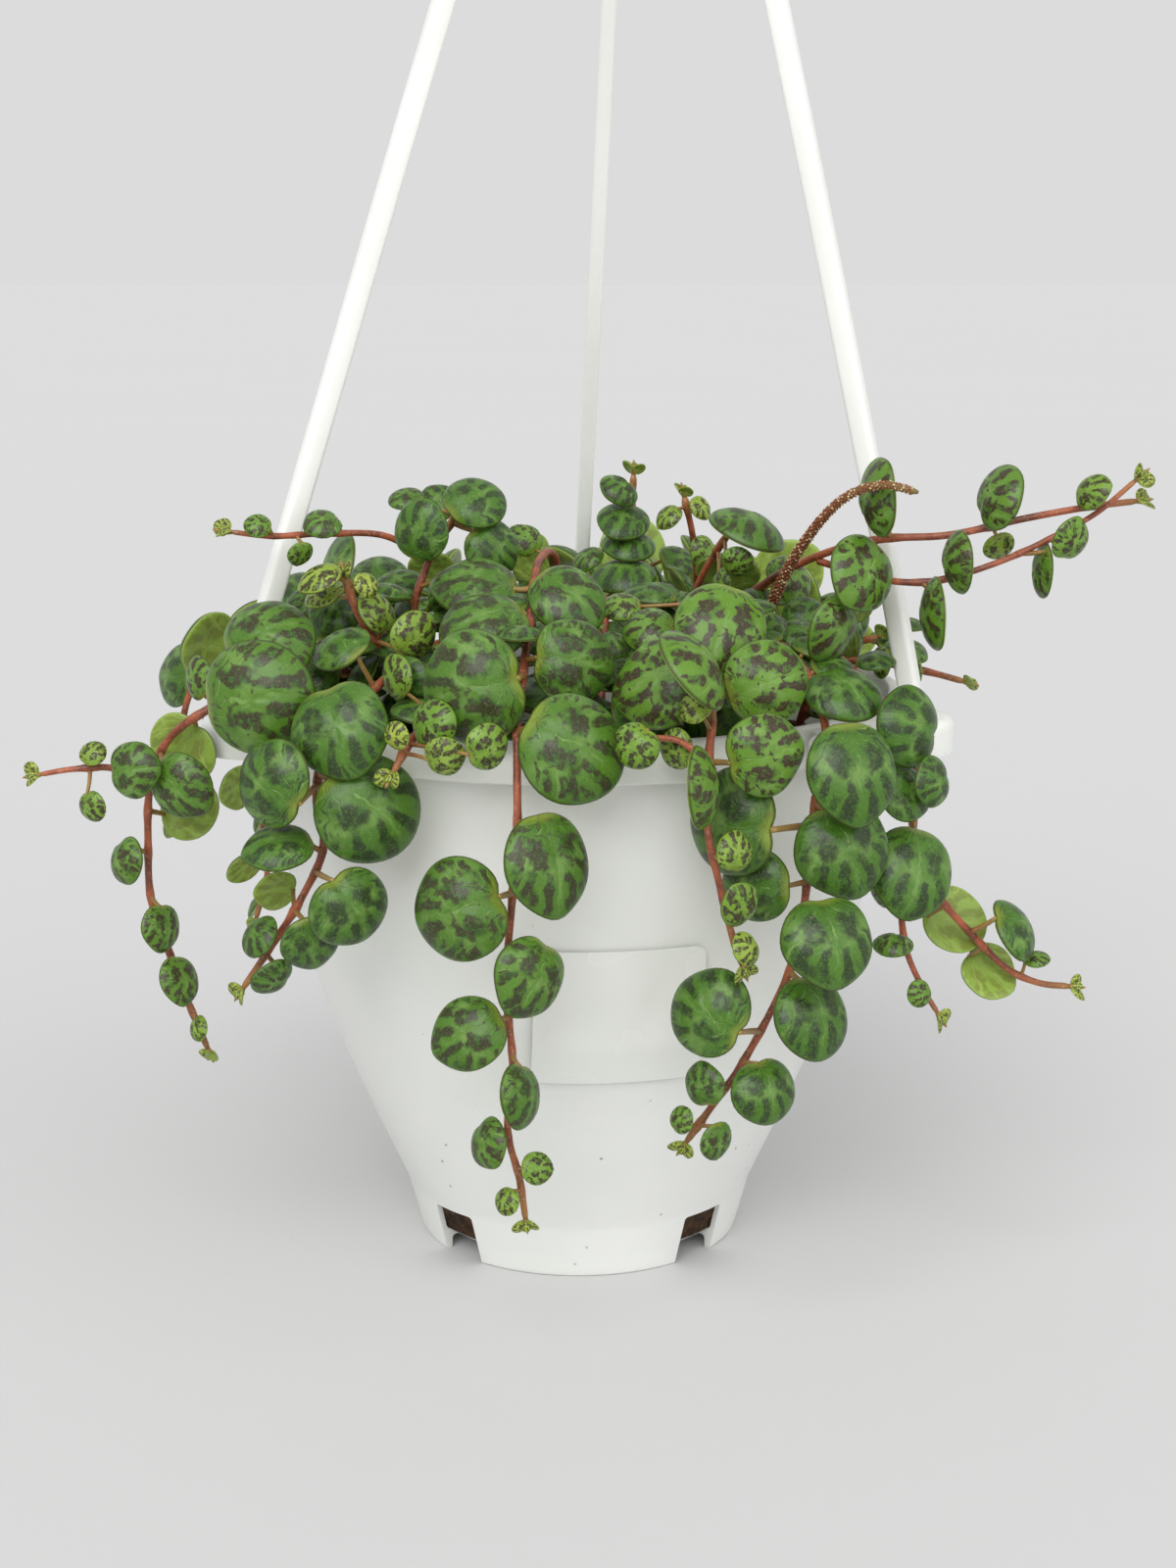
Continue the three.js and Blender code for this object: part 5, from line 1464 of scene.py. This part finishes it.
def stalk_mesh(shape, base, centre, tip, normal, size):
    """Short leaf stalk, from the stem to under the blade's base."""
    end = centre - tip * size * 0.4 + normal * size * 0.02
    middle = (base + end) / 2 + tip * 0.4 - normal * 0.05 * size
    share = np.linspace(0, 1, 8)[:, None]
    places = base * (1 - share) ** 2 + middle * 2 * share * (1 - share) + end * share ** 2
    thick = 0.22 + 0.022 * size
    tube(shape, places * MM, thick * (1.15 - 0.3 * share[:, 0]) * MM, 8, 0.9 + 0.1 * share[:, 0])


def tip_leaves(shoot, number):
    """Small leaves at the end of a stem."""
    path = shoot.path
    end, tangent = path[-1], unit(path[-1] - path[-3])
    side = unit(np.cross(tangent, outward(end)))
    front = np.cross(side, tangent)
    leaves = []
    for turn, size, lean in TIP_LEAVES:
        away = side * cosd(turn) + front * sind(turn)
        tip = unit(tangent + away * lean)
        normal = unit(away * -0.4 + tangent * 0.6 + front * 0.7)
        normal = unit(normal - tip * (normal @ tip))
        centre = end + tip * size * 0.5
        leaves.append((centre, tip, normal, size, 1.0, number))
        number += 1
    return leaves


def filling_leaves(plant, shoot, number):
    """Smaller leaves low in the crown, where the larger ones leave a gap over the soil."""
    draw = seeded_draw(FILL_SEED + 31 * number)
    draw()
    leaves = []
    for base in shoot.curve.evenly(max(2, round(shoot.curve.length / FILL_SPACING))):
        if math.hypot(base[0], base[1]) > FILL_REACH or not CROWN_FLOOR < base[2] < CROWN_CEILING:
            continue
        turn, lift = 360 * draw(), 0.25 + 0.9 * draw()
        size = FILL_WIDTHS[0] + FILL_WIDTHS[1] * draw()
        tip = unit(vec(cosd(turn), sind(turn), 0.3 * (lift - 0.5)))
        normal = vec(0.35 * base[0] / FILL_REACH, 0.35 * base[1] / FILL_REACH, lift)
        normal = unit(normal - tip * (normal @ tip))
        centre = base + tip * (size * 0.58) + vec(0, 0, 1.2)
        if min(np.linalg.norm(centre - other) for other in plant.filled) > FILL_CLEAR:
            plant.filled.append(centre)
            leaf = (centre, tip, normal, size, 0.05 + 0.15 * draw(), number + len(leaves))
            leaves.append((leaf, base))
    return leaves


def plant_pieces(plant):
    """A piece for each leafy shoot: its stems, leaf stalks, leaves and filling leaves."""
    leaf_skin, stem_skin = leaf_material(), stem_material()
    blades = leaf_collection()
    tree, inputs = placing_tree("leaves on a shoot", blades, leaf_skin)
    number = 0
    plant.filled = [leaf.centre for leaf in plant.leaves]
    for node in dict.fromkeys(shoot.node for shoot in plant.shoots):
        stems = Shape()
        leaves = []
        for shoot in (shoot for shoot in plant.shoots if shoot.node == node):
            own = [leaf for leaf in plant.leaves if leaf.shoot is shoot]
            stem_mesh(stems, shoot, own)
            for leaf in own:
                stalk_mesh(stems, leaf.base, leaf.centre, leaf.tip, leaf.normal, leaf.size)
                youth = YOUNG_SHOOTS.get(node, 0.0) + np.clip((10 - leaf.size) / 11, 0, 0.55)
                youth = min(youth, 1)
                leaves.append((leaf.centre, leaf.tip, leaf.normal, leaf.size, youth, number))
                number += 1
            leaves += tip_leaves(shoot, number)
            number += len(TIP_LEAVES)
            for leaf, base in filling_leaves(plant, shoot, number):
                stalk_mesh(stems, base, *leaf[:4])
                leaves.append(leaf)
                number += 1
        points = [leaf[0] * MM for leaf in leaves]
        values = leaf_values([leaf[1:] for leaf in leaves])
        foliage = placed(node, points, values, tree, inputs, tilt=0.02, seed=7)
        piece = joined(f"{node}_foliage", [foliage, stems.mesh(f"{node}_stem", stem_skin)])
        finish_piece(piece, "foliage", node)
    delete_objects(blades.objects)


def spike_piece(plant):
    """Bare stalk, then the spike with its florets in turning rows."""
    places = plant.spike.curve.evenly(SPIKE_RINGS)
    share = np.linspace(0, 1, SPIKE_RINGS + 1)
    grown = np.clip((share - SPIKE_START) / 0.03, 0, 1)
    taper = np.clip((share - SPIKE_START) / (1 - SPIKE_START), 0, 1)
    radii = SPIKE_STALK * (1 - grown) + SPIKE_CORE * (1 - 0.4 * taper) * grown
    radii[-1] *= 0.5
    shape = Shape()
    tube(shape, places * MM, radii * MM, 14, share)
    stalk = shape.mesh("flower_spike_stalk", spike_material())
    across, up = frames_along(places)
    points, turns, widths = [], [], []
    for i in range(FLORETS):
        along = SPIKE_START + 0.02 + (0.97 - SPIKE_START) * (i + 0.5) / FLORETS
        k = along * SPIKE_RINGS
        low, part = int(k), k - int(k)
        centre = places[low] * (1 - part) + places[low + 1] * part
        away = across[low] * cosd(i * GOLDEN_ANGLE) + up[low] * sind(i * GOLDEN_ANGLE)
        draw = seeded_draw(FLORET_SEED + 13 * i)
        draw()
        points.append((centre + away * radii[low] * 0.97) * MM)
        turns.append(turn_of(unit(np.cross(away, vec(0.3, 0.2, 1))), away))
        widths.append((FLORET_WIDTHS[0] + FLORET_WIDTHS[1] * draw()) * (1 - 0.3 * along))
    bumps = collected("florets", [ball("floret", 2)])
    tree, inputs = placing_tree("florets on the spike", bumps, floret_material())
    values = {"turn": turns, "width": widths, "kind": [0] * FLORETS}
    florets = placed("florets", points, values, tree, inputs, tilt=0.3, seed=3)
    finish_piece(joined("flower_spike_detail", [stalk, florets]), "flower_spike", "flower_spike")
    delete_objects(bumps.objects)


def ball(name, levels, roughness=0.0, seed=1):
    """Ball of radius 1, uneven by the roughness."""
    mesh = bpy.data.meshes.new(name)
    draw = seeded_draw(seed)
    with edited(mesh) as work:
        bmesh.ops.create_icosphere(work, subdivisions=levels, radius=1.0)
        for vertex in work.verts:
            vertex.co *= 1 + roughness * (draw() - 0.5)
    mesh.polygons.foreach_set("use_smooth", [True] * len(mesh.polygons))
    return mesh


# Pot, soil, hanger and label

def ear_outline(inset):
    """From above: out from the wall in a bend, round the hole, and back."""
    radius = EAR_RADIUS - inset
    half = EAR_ROOT_HALF - 4 * inset
    points = []

    def bend(start, control, end):
        for k in range(10):
            t = k / 10
            points.append(tuple(Vector(start) * (1 - t) ** 2 + Vector(control) * 2 * t * (1 - t)
                                + Vector(end) * t * t))

    set_in, set_out = EAR_BEND
    bend((EAR_ROOT_RADIUS, -half), (EAR_CENTRE - set_in, -radius - set_out), (EAR_CENTRE, -radius))
    for k in range(25):
        angle = -90 + 180 * k / 24
        points.append((EAR_CENTRE + radius * cosd(angle), radius * sind(angle)))
    del points[-1]
    bend((EAR_CENTRE, radius), (EAR_CENTRE - set_in, radius + set_out), (EAR_ROOT_RADIUS, half))
    points.append((EAR_ROOT_RADIUS, half))
    return points


def spun(mesh, angle):
    """The mesh turned about the pot's axis."""
    mesh.transform(Matrix.Rotation(math.radians(angle), 4, "Z"))
    return mesh


def ear_mesh(angle):
    """Hollow below, with a square hole through its plate."""
    body = extruded_mesh("ear", ear_outline(0), EAR_BOTTOM, EAR_TOP, EAR_ROUNDING)
    pocket = extruded_mesh("pocket", ear_outline(EAR_WALL), EAR_BOTTOM - 0.001, EAR_TOP - EAR_PLATE)
    half_length, half_width = EAR_HOLE[0] / 2, EAR_HOLE[1] / 2
    middle = (ARM_FOOT + ARM_NECK) / 2
    corners = [(middle + half_length * x, half_width * y)
               for x, y in ((-1, -1), (1, -1), (1, 1), (-1, 1))]
    hole = extruded_mesh("hole", corners, RIM_BOTTOM, RIM_TOP + CUT_MARGIN)
    body = combined(body, pocket, "DIFFERENCE")
    return spun(combined(body, hole, "DIFFERENCE"), angle)


def notch_mesh(angle):
    """What is cut from the foot: flat below and rounded above."""
    half = NOTCH_WIDTH / 2
    outline = [(-half, -0.001), (half, -0.001)]
    for centre, start in ((half - NOTCH_CORNER, 0), (NOTCH_CORNER - half, 90)):
        for k in range(7):
            turn = start + 15 * k
            outline.append((centre + NOTCH_CORNER * cosd(turn),
                            NOTCH_HEIGHT - NOTCH_CORNER + NOTCH_CORNER * sind(turn)))
    block = extruded_mesh("notch", outline, *NOTCH_DEPTHS)
    block.transform(Matrix(((0, 0, 1, 0), (1, 0, 0, 0), (0, 1, 0, 0), (0, 0, 0, 1))))
    return spun(block, angle)


def pot_piece():
    """The turned wall, foot and rim, with its ears and notches."""
    foot_inner = WALL_OUTLINE[0][0] - FOOT_WALL
    corners = [(0, FLOOR_BOTTOM), (foot_inner, FLOOR_BOTTOM), (foot_inner, 0), *WALL_OUTLINE,
               (RIM_RADIUS, RIM_BOTTOM), (RIM_RADIUS, RIM_BEAD_TOP), RIM_SHOULDER,
               (RIM_TOP_RADIUS, RIM_TOP), (RIM_INNER_RADIUS, RIM_TOP)]
    rounding = FOOT_ROUNDING + WALL_ROUNDING + RIM_ROUNDING + INNER_ROUNDING + FLOOR_ROUNDING
    floor_radius = wall_radius(FLOOR_TOP) - WALL
    inner = [(radius - WALL, height) for radius, height in WALL_OUTLINE[:0:-1]]
    corners += [*inner, (floor_radius, FLOOR_TOP), (0, FLOOR_TOP)]
    pot = turned_mesh("pot_shell", filleted(corners, rounding), POT_SIDES)
    low, high = RIM_BOTTOM - CUT_MARGIN, RIM_TOP + CUT_MARGIN
    bore = turned_mesh("bore", [(0, low), (EAR_START, low), (EAR_START, high), (0, high)], POT_SIDES)
    for angle in EAR_ANGLES:
        pot = combined(pot, combined(ear_mesh(angle), bore, "DIFFERENCE"), "UNION")
    for angle in NOTCH_ANGLES:
        pot = combined(pot, notch_mesh(angle), "DIFFERENCE")
    pot.materials.clear()
    light, dark = linear(232, 233, 229), linear(224, 226, 220)
    pot.materials.append(plastic_material("pot plastic", light, dark, specks=0.8))
    finish_piece(sharpened(in_scene("pot_shell", cleaned(pot))), "pot_plastic", "pot")


def soil_mesh(skin):
    """Soil with an uneven top."""
    heights = np.linspace(FLOOR_TOP + SOIL_GAP, soil_height(SOIL_EDGE_RADIUS) - 0.003, 8)
    side = [(wall_radius(height) - WALL - SOIL_GAP, height) for height in heights]
    top = [(radius, soil_height(radius)) for radius in SOIL_EDGE_RADIUS * np.linspace(1, 0, 40)]
    mesh = turned_mesh("soil_lumps", [(0, FLOOR_TOP + SOIL_GAP), *side, *top], SOIL_SIDES)
    for vertex in mesh.vertices:
        x, y, z = vertex.co
        if z > soil_height(math.hypot(x, y)) - 1e-5:
            wave = math.sin(x * 620 + 1.3) * math.cos(y * 540) + math.sin((x + y) * 1100 + 2)
            wave += math.sin(x * 1900 - y * 1400) * 0.6
            vertex.co.z -= SOIL_LUMP * (0.5 + wave / 5)
    mesh.materials.append(skin)
    return cleaned(mesh)


def loose_grains(skin):
    """Grains strewn over the top of the soil."""
    grains = collected("grains", [ball(f"grain_{number}", 1, 0.7, 20 + number)
                                  for number in range(GRAIN_KINDS)])
    tree, inputs = placing_tree("grains on the soil", grains, skin)
    draw = seeded_draw(GRAIN_SEED)
    draw()
    points, turns, widths, kinds = [], [], [], []
    for _ in range(GRAINS):
        radius = (SOIL_EDGE_RADIUS - 0.001) * math.sqrt(draw())
        place = on_axis(radius, 360 * draw(), soil_height(radius) - SOIL_LUMP * 0.55)
        points.append(place)
        turns.append((6 * draw(), 6 * draw(), 6 * draw()))
        widths.append(GRAIN_WIDTHS[0] + GRAIN_WIDTHS[1] * draw() ** 3)
        kinds.append(int(GRAIN_KINDS * draw()))
    values = {"turn": turns, "width": widths, "kind": kinds}
    loose = placed("grains", points, values, tree, inputs, tilt=0.5, seed=11)
    delete_objects(grains.objects)
    return loose


def soil_piece():
    skin = soil_material()
    finish_piece(joined("soil_lumps", [soil_mesh(skin), loose_grains(skin)]), "soil", "soil")


def sweep(shape, places, section):
    """Closed bar along the places, with the section's outline square across it."""
    across, up = frames_along(places)
    points = []
    for place, side, top in zip(places, across, up):
        points += [place + side * x + top * y for x, y in section]
    shape.add(points, ring_faces(len(places), len(section)))


def rounded_section(width, depth, corner, steps=4):
    """Outline of a bar with rounded edges."""
    points = []
    for turn, (x, y) in enumerate(((1, 1), (-1, 1), (-1, -1), (1, -1))):
        for k in range(steps + 1):
            angle = 90 * turn + 90 * k / steps
            points.append((x * (width / 2 - corner) + corner * cosd(angle),
                           y * (depth / 2 - corner) + corner * sind(angle)))
    return points


def add_arm(shape, angle):
    """Arm from its barbed end, in an ear's hole, to the hub."""
    knob = on_axis(ARM_FOOT, angle, KNOB_CENTRE)
    neck = on_axis(ARM_NECK, angle, RIM_TOP + MM)
    end = vec(*HUB) - vec(0, 0, 2 * MM)
    bow = on_axis(ARM_BOW, angle, 0)
    route = [knob, neck, neck + (end - neck) * 0.3 + bow, neck + (end - neck) * 0.62 + bow, end]
    section = rounded_section(*ARM_SECTION, ARM_CORNER)
    sweep(shape, Curve(route, centripetal=True).evenly(60), section)
    rise = vec(0, 0, KNOB[2] / 2)
    turned = [(x * cosd(angle) - y * sind(angle), x * sind(angle) + y * cosd(angle))
              for x, y in rounded_section(KNOB[0], KNOB[1], KNOB_CORNER)]
    points = [knob + rise * level + vec(x * share, y * share, 0)
              for level, share in KNOB_LEVELS for x, y in turned]
    shape.add(points, ring_faces(len(KNOB_LEVELS), len(turned)))


def add_hub(shape):
    points = [vec(*HUB) + on_axis(HUB_RADIUS * share, 360 * i / HUB_SIDES, level * HUB_HEIGHT)
              for level, share in HUB_LEVELS for i in range(HUB_SIDES)]
    shape.add(points, ring_faces(len(HUB_LEVELS), HUB_SIDES))


def add_hook(shape):
    """Round wire up from the hub and over, thinner at its tip."""
    centre = vec(*HUB) + vec(0, 0, HOOK_CENTRE_HEIGHT)
    route = [vec(*HUB), vec(*HUB) + vec(0, 0, HUB_HEIGHT)]
    for angle in HOOK_TURNS:
        route.append(centre + vec(HOOK_RADIUS * cosd(angle), 0, HOOK_RADIUS * sind(angle)))
    places = Curve(route, centripetal=True).evenly(90)
    radii = np.full(len(places), HOOK_WIRE)
    radii[-len(HOOK_TIP):] *= HOOK_TIP
    tube(shape, places, radii, 16)


def hanger_piece():
    """Three arms in the ears' holes, the hub where they meet, and the hook."""
    shape = Shape()
    for angle in EAR_ANGLES:
        add_arm(shape, angle)
    add_hub(shape)
    add_hook(shape)
    light, dark = linear(236, 237, 233), linear(228, 229, 224)
    mesh = shape.mesh("hanger_arms", plastic_material("hanger plastic", light, dark, specks=0.15))
    finish_piece(sharpened(in_scene("hanger_arms", mesh), 40), "hanger_plastic", "hanger")


def label_points():
    """Grid over the film's inner side and then its outer side, row by row."""
    height = LABEL_TOP - LABEL_BOTTOM
    points = []
    for layer in (0, 1):
        for row in range(LABEL_ROWS + 1):
            for column in range(LABEL_COLUMNS + 1):
                x = LABEL_WIDTH * (column / LABEL_COLUMNS - 0.5)
                y = height * (row / LABEL_ROWS - 0.5)
                over_x = max(0, abs(x) - LABEL_WIDTH / 2 + LABEL_CORNER)
                over_y = max(0, abs(y) - height / 2 + LABEL_CORNER)
                reach = math.hypot(over_x, over_y)
                if reach > LABEL_CORNER and over_x and over_y:
                    x -= math.copysign(over_x * (1 - LABEL_CORNER / reach), x)
                    y -= math.copysign(over_y * (1 - LABEL_CORNER / reach), y)
                z = (LABEL_TOP + LABEL_BOTTOM) / 2 + y
                radius = wall_radius(z) + LABEL_LIFT + layer * LABEL_THICKNESS
                points.append(on_axis(radius, LABEL_ANGLE + math.degrees(x / wall_radius(z)), z))
    return points


def label_faces():
    """Faces of both sides of the film and of its edge."""
    columns, rows = LABEL_COLUMNS, LABEL_ROWS
    size = (rows + 1) * (columns + 1)
    faces = []
    for row in range(rows):
        for column in range(columns):
            a = row * (columns + 1) + column
            b, c, d = a + 1, a + columns + 2, a + columns + 1
            faces += [(a, d, c, b), (a + size, b + size, c + size, d + size)]
    edge = list(range(columns + 1))
    edge += [row * (columns + 1) + columns for row in range(1, rows + 1)]
    edge += [rows * (columns + 1) + column for column in range(columns - 1, -1, -1)]
    edge += [row * (columns + 1) for row in range(rows - 1, 0, -1)]
    faces += [(a, b, b + size, a + size) for a, b in zip(edge, edge[1:] + edge[:1])]
    return faces


def label_piece():
    """Blank film that follows the wall, with rounded corners."""
    shape = Shape()
    shape.add(label_points(), label_faces())
    film = in_scene("label_film", shape.mesh("label_film", film_material()))
    finish_piece(sharpened(film), "label_film", "label")


# Studio

def studio_floor():
    floor = bpy.data.meshes.new("floor")
    corners = [(FLOOR_REACH * x, FLOOR_REACH * y, 0) for x, y in ((-1, -1), (1, -1), (1, 1), (-1, 1))]
    floor.from_pydata(corners, [], [(0, 1, 2, 3)])
    floor.materials.append(floor_material())
    stand = in_scene("floor", floor)
    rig.stage(stand)


def studio_camera():
    """Camera where the photo was taken."""
    camera = bpy.data.cameras.new("camera")
    camera.lens = CAMERA_LENS
    camera.sensor_width = SENSOR
    camera.sensor_fit = "AUTO"
    camera.clip_start, camera.clip_end = CLIP
    seen = in_scene("camera", camera)
    seen.location = CAMERA_PLACE
    seen.rotation_euler = (math.radians(90 - CAMERA_PITCH), 0, 0)
    bpy.context.scene.camera = seen
    bpy.context.scene.view_settings.view_transform = "Standard"


def studio_light():
    """Two broad soft lights and an even pale sky."""
    for name, turn, spread, strength in LIGHTS:
        light = bpy.data.lights.new(name, "SUN")
        light.angle = math.radians(spread)
        light.energy = strength
        in_scene(name, light).rotation_euler = [math.radians(angle) for angle in turn]
    world = bpy.data.worlds.new("studio")
    world.use_nodes = True
    sky = world.node_tree.nodes["Background"]
    sky.inputs["Color"].default_value = linear(SKY_TONE, SKY_TONE, SKY_TONE)
    bpy.context.scene.world = world


# The scene

studio_floor()
studio_camera()
studio_light()
plant = Plant()
pot_piece()
soil_piece()
hanger_piece()
label_piece()
plant_pieces(plant)
spike_piece(plant)

with open("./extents.json", "w") as file:
    boxes = {"cad": cad_box, "visual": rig.bounds()}
    file.write(str({name: [list(map(float, corner)) for corner in box] for name, box in boxes.items()})
               .replace("'", '"'))
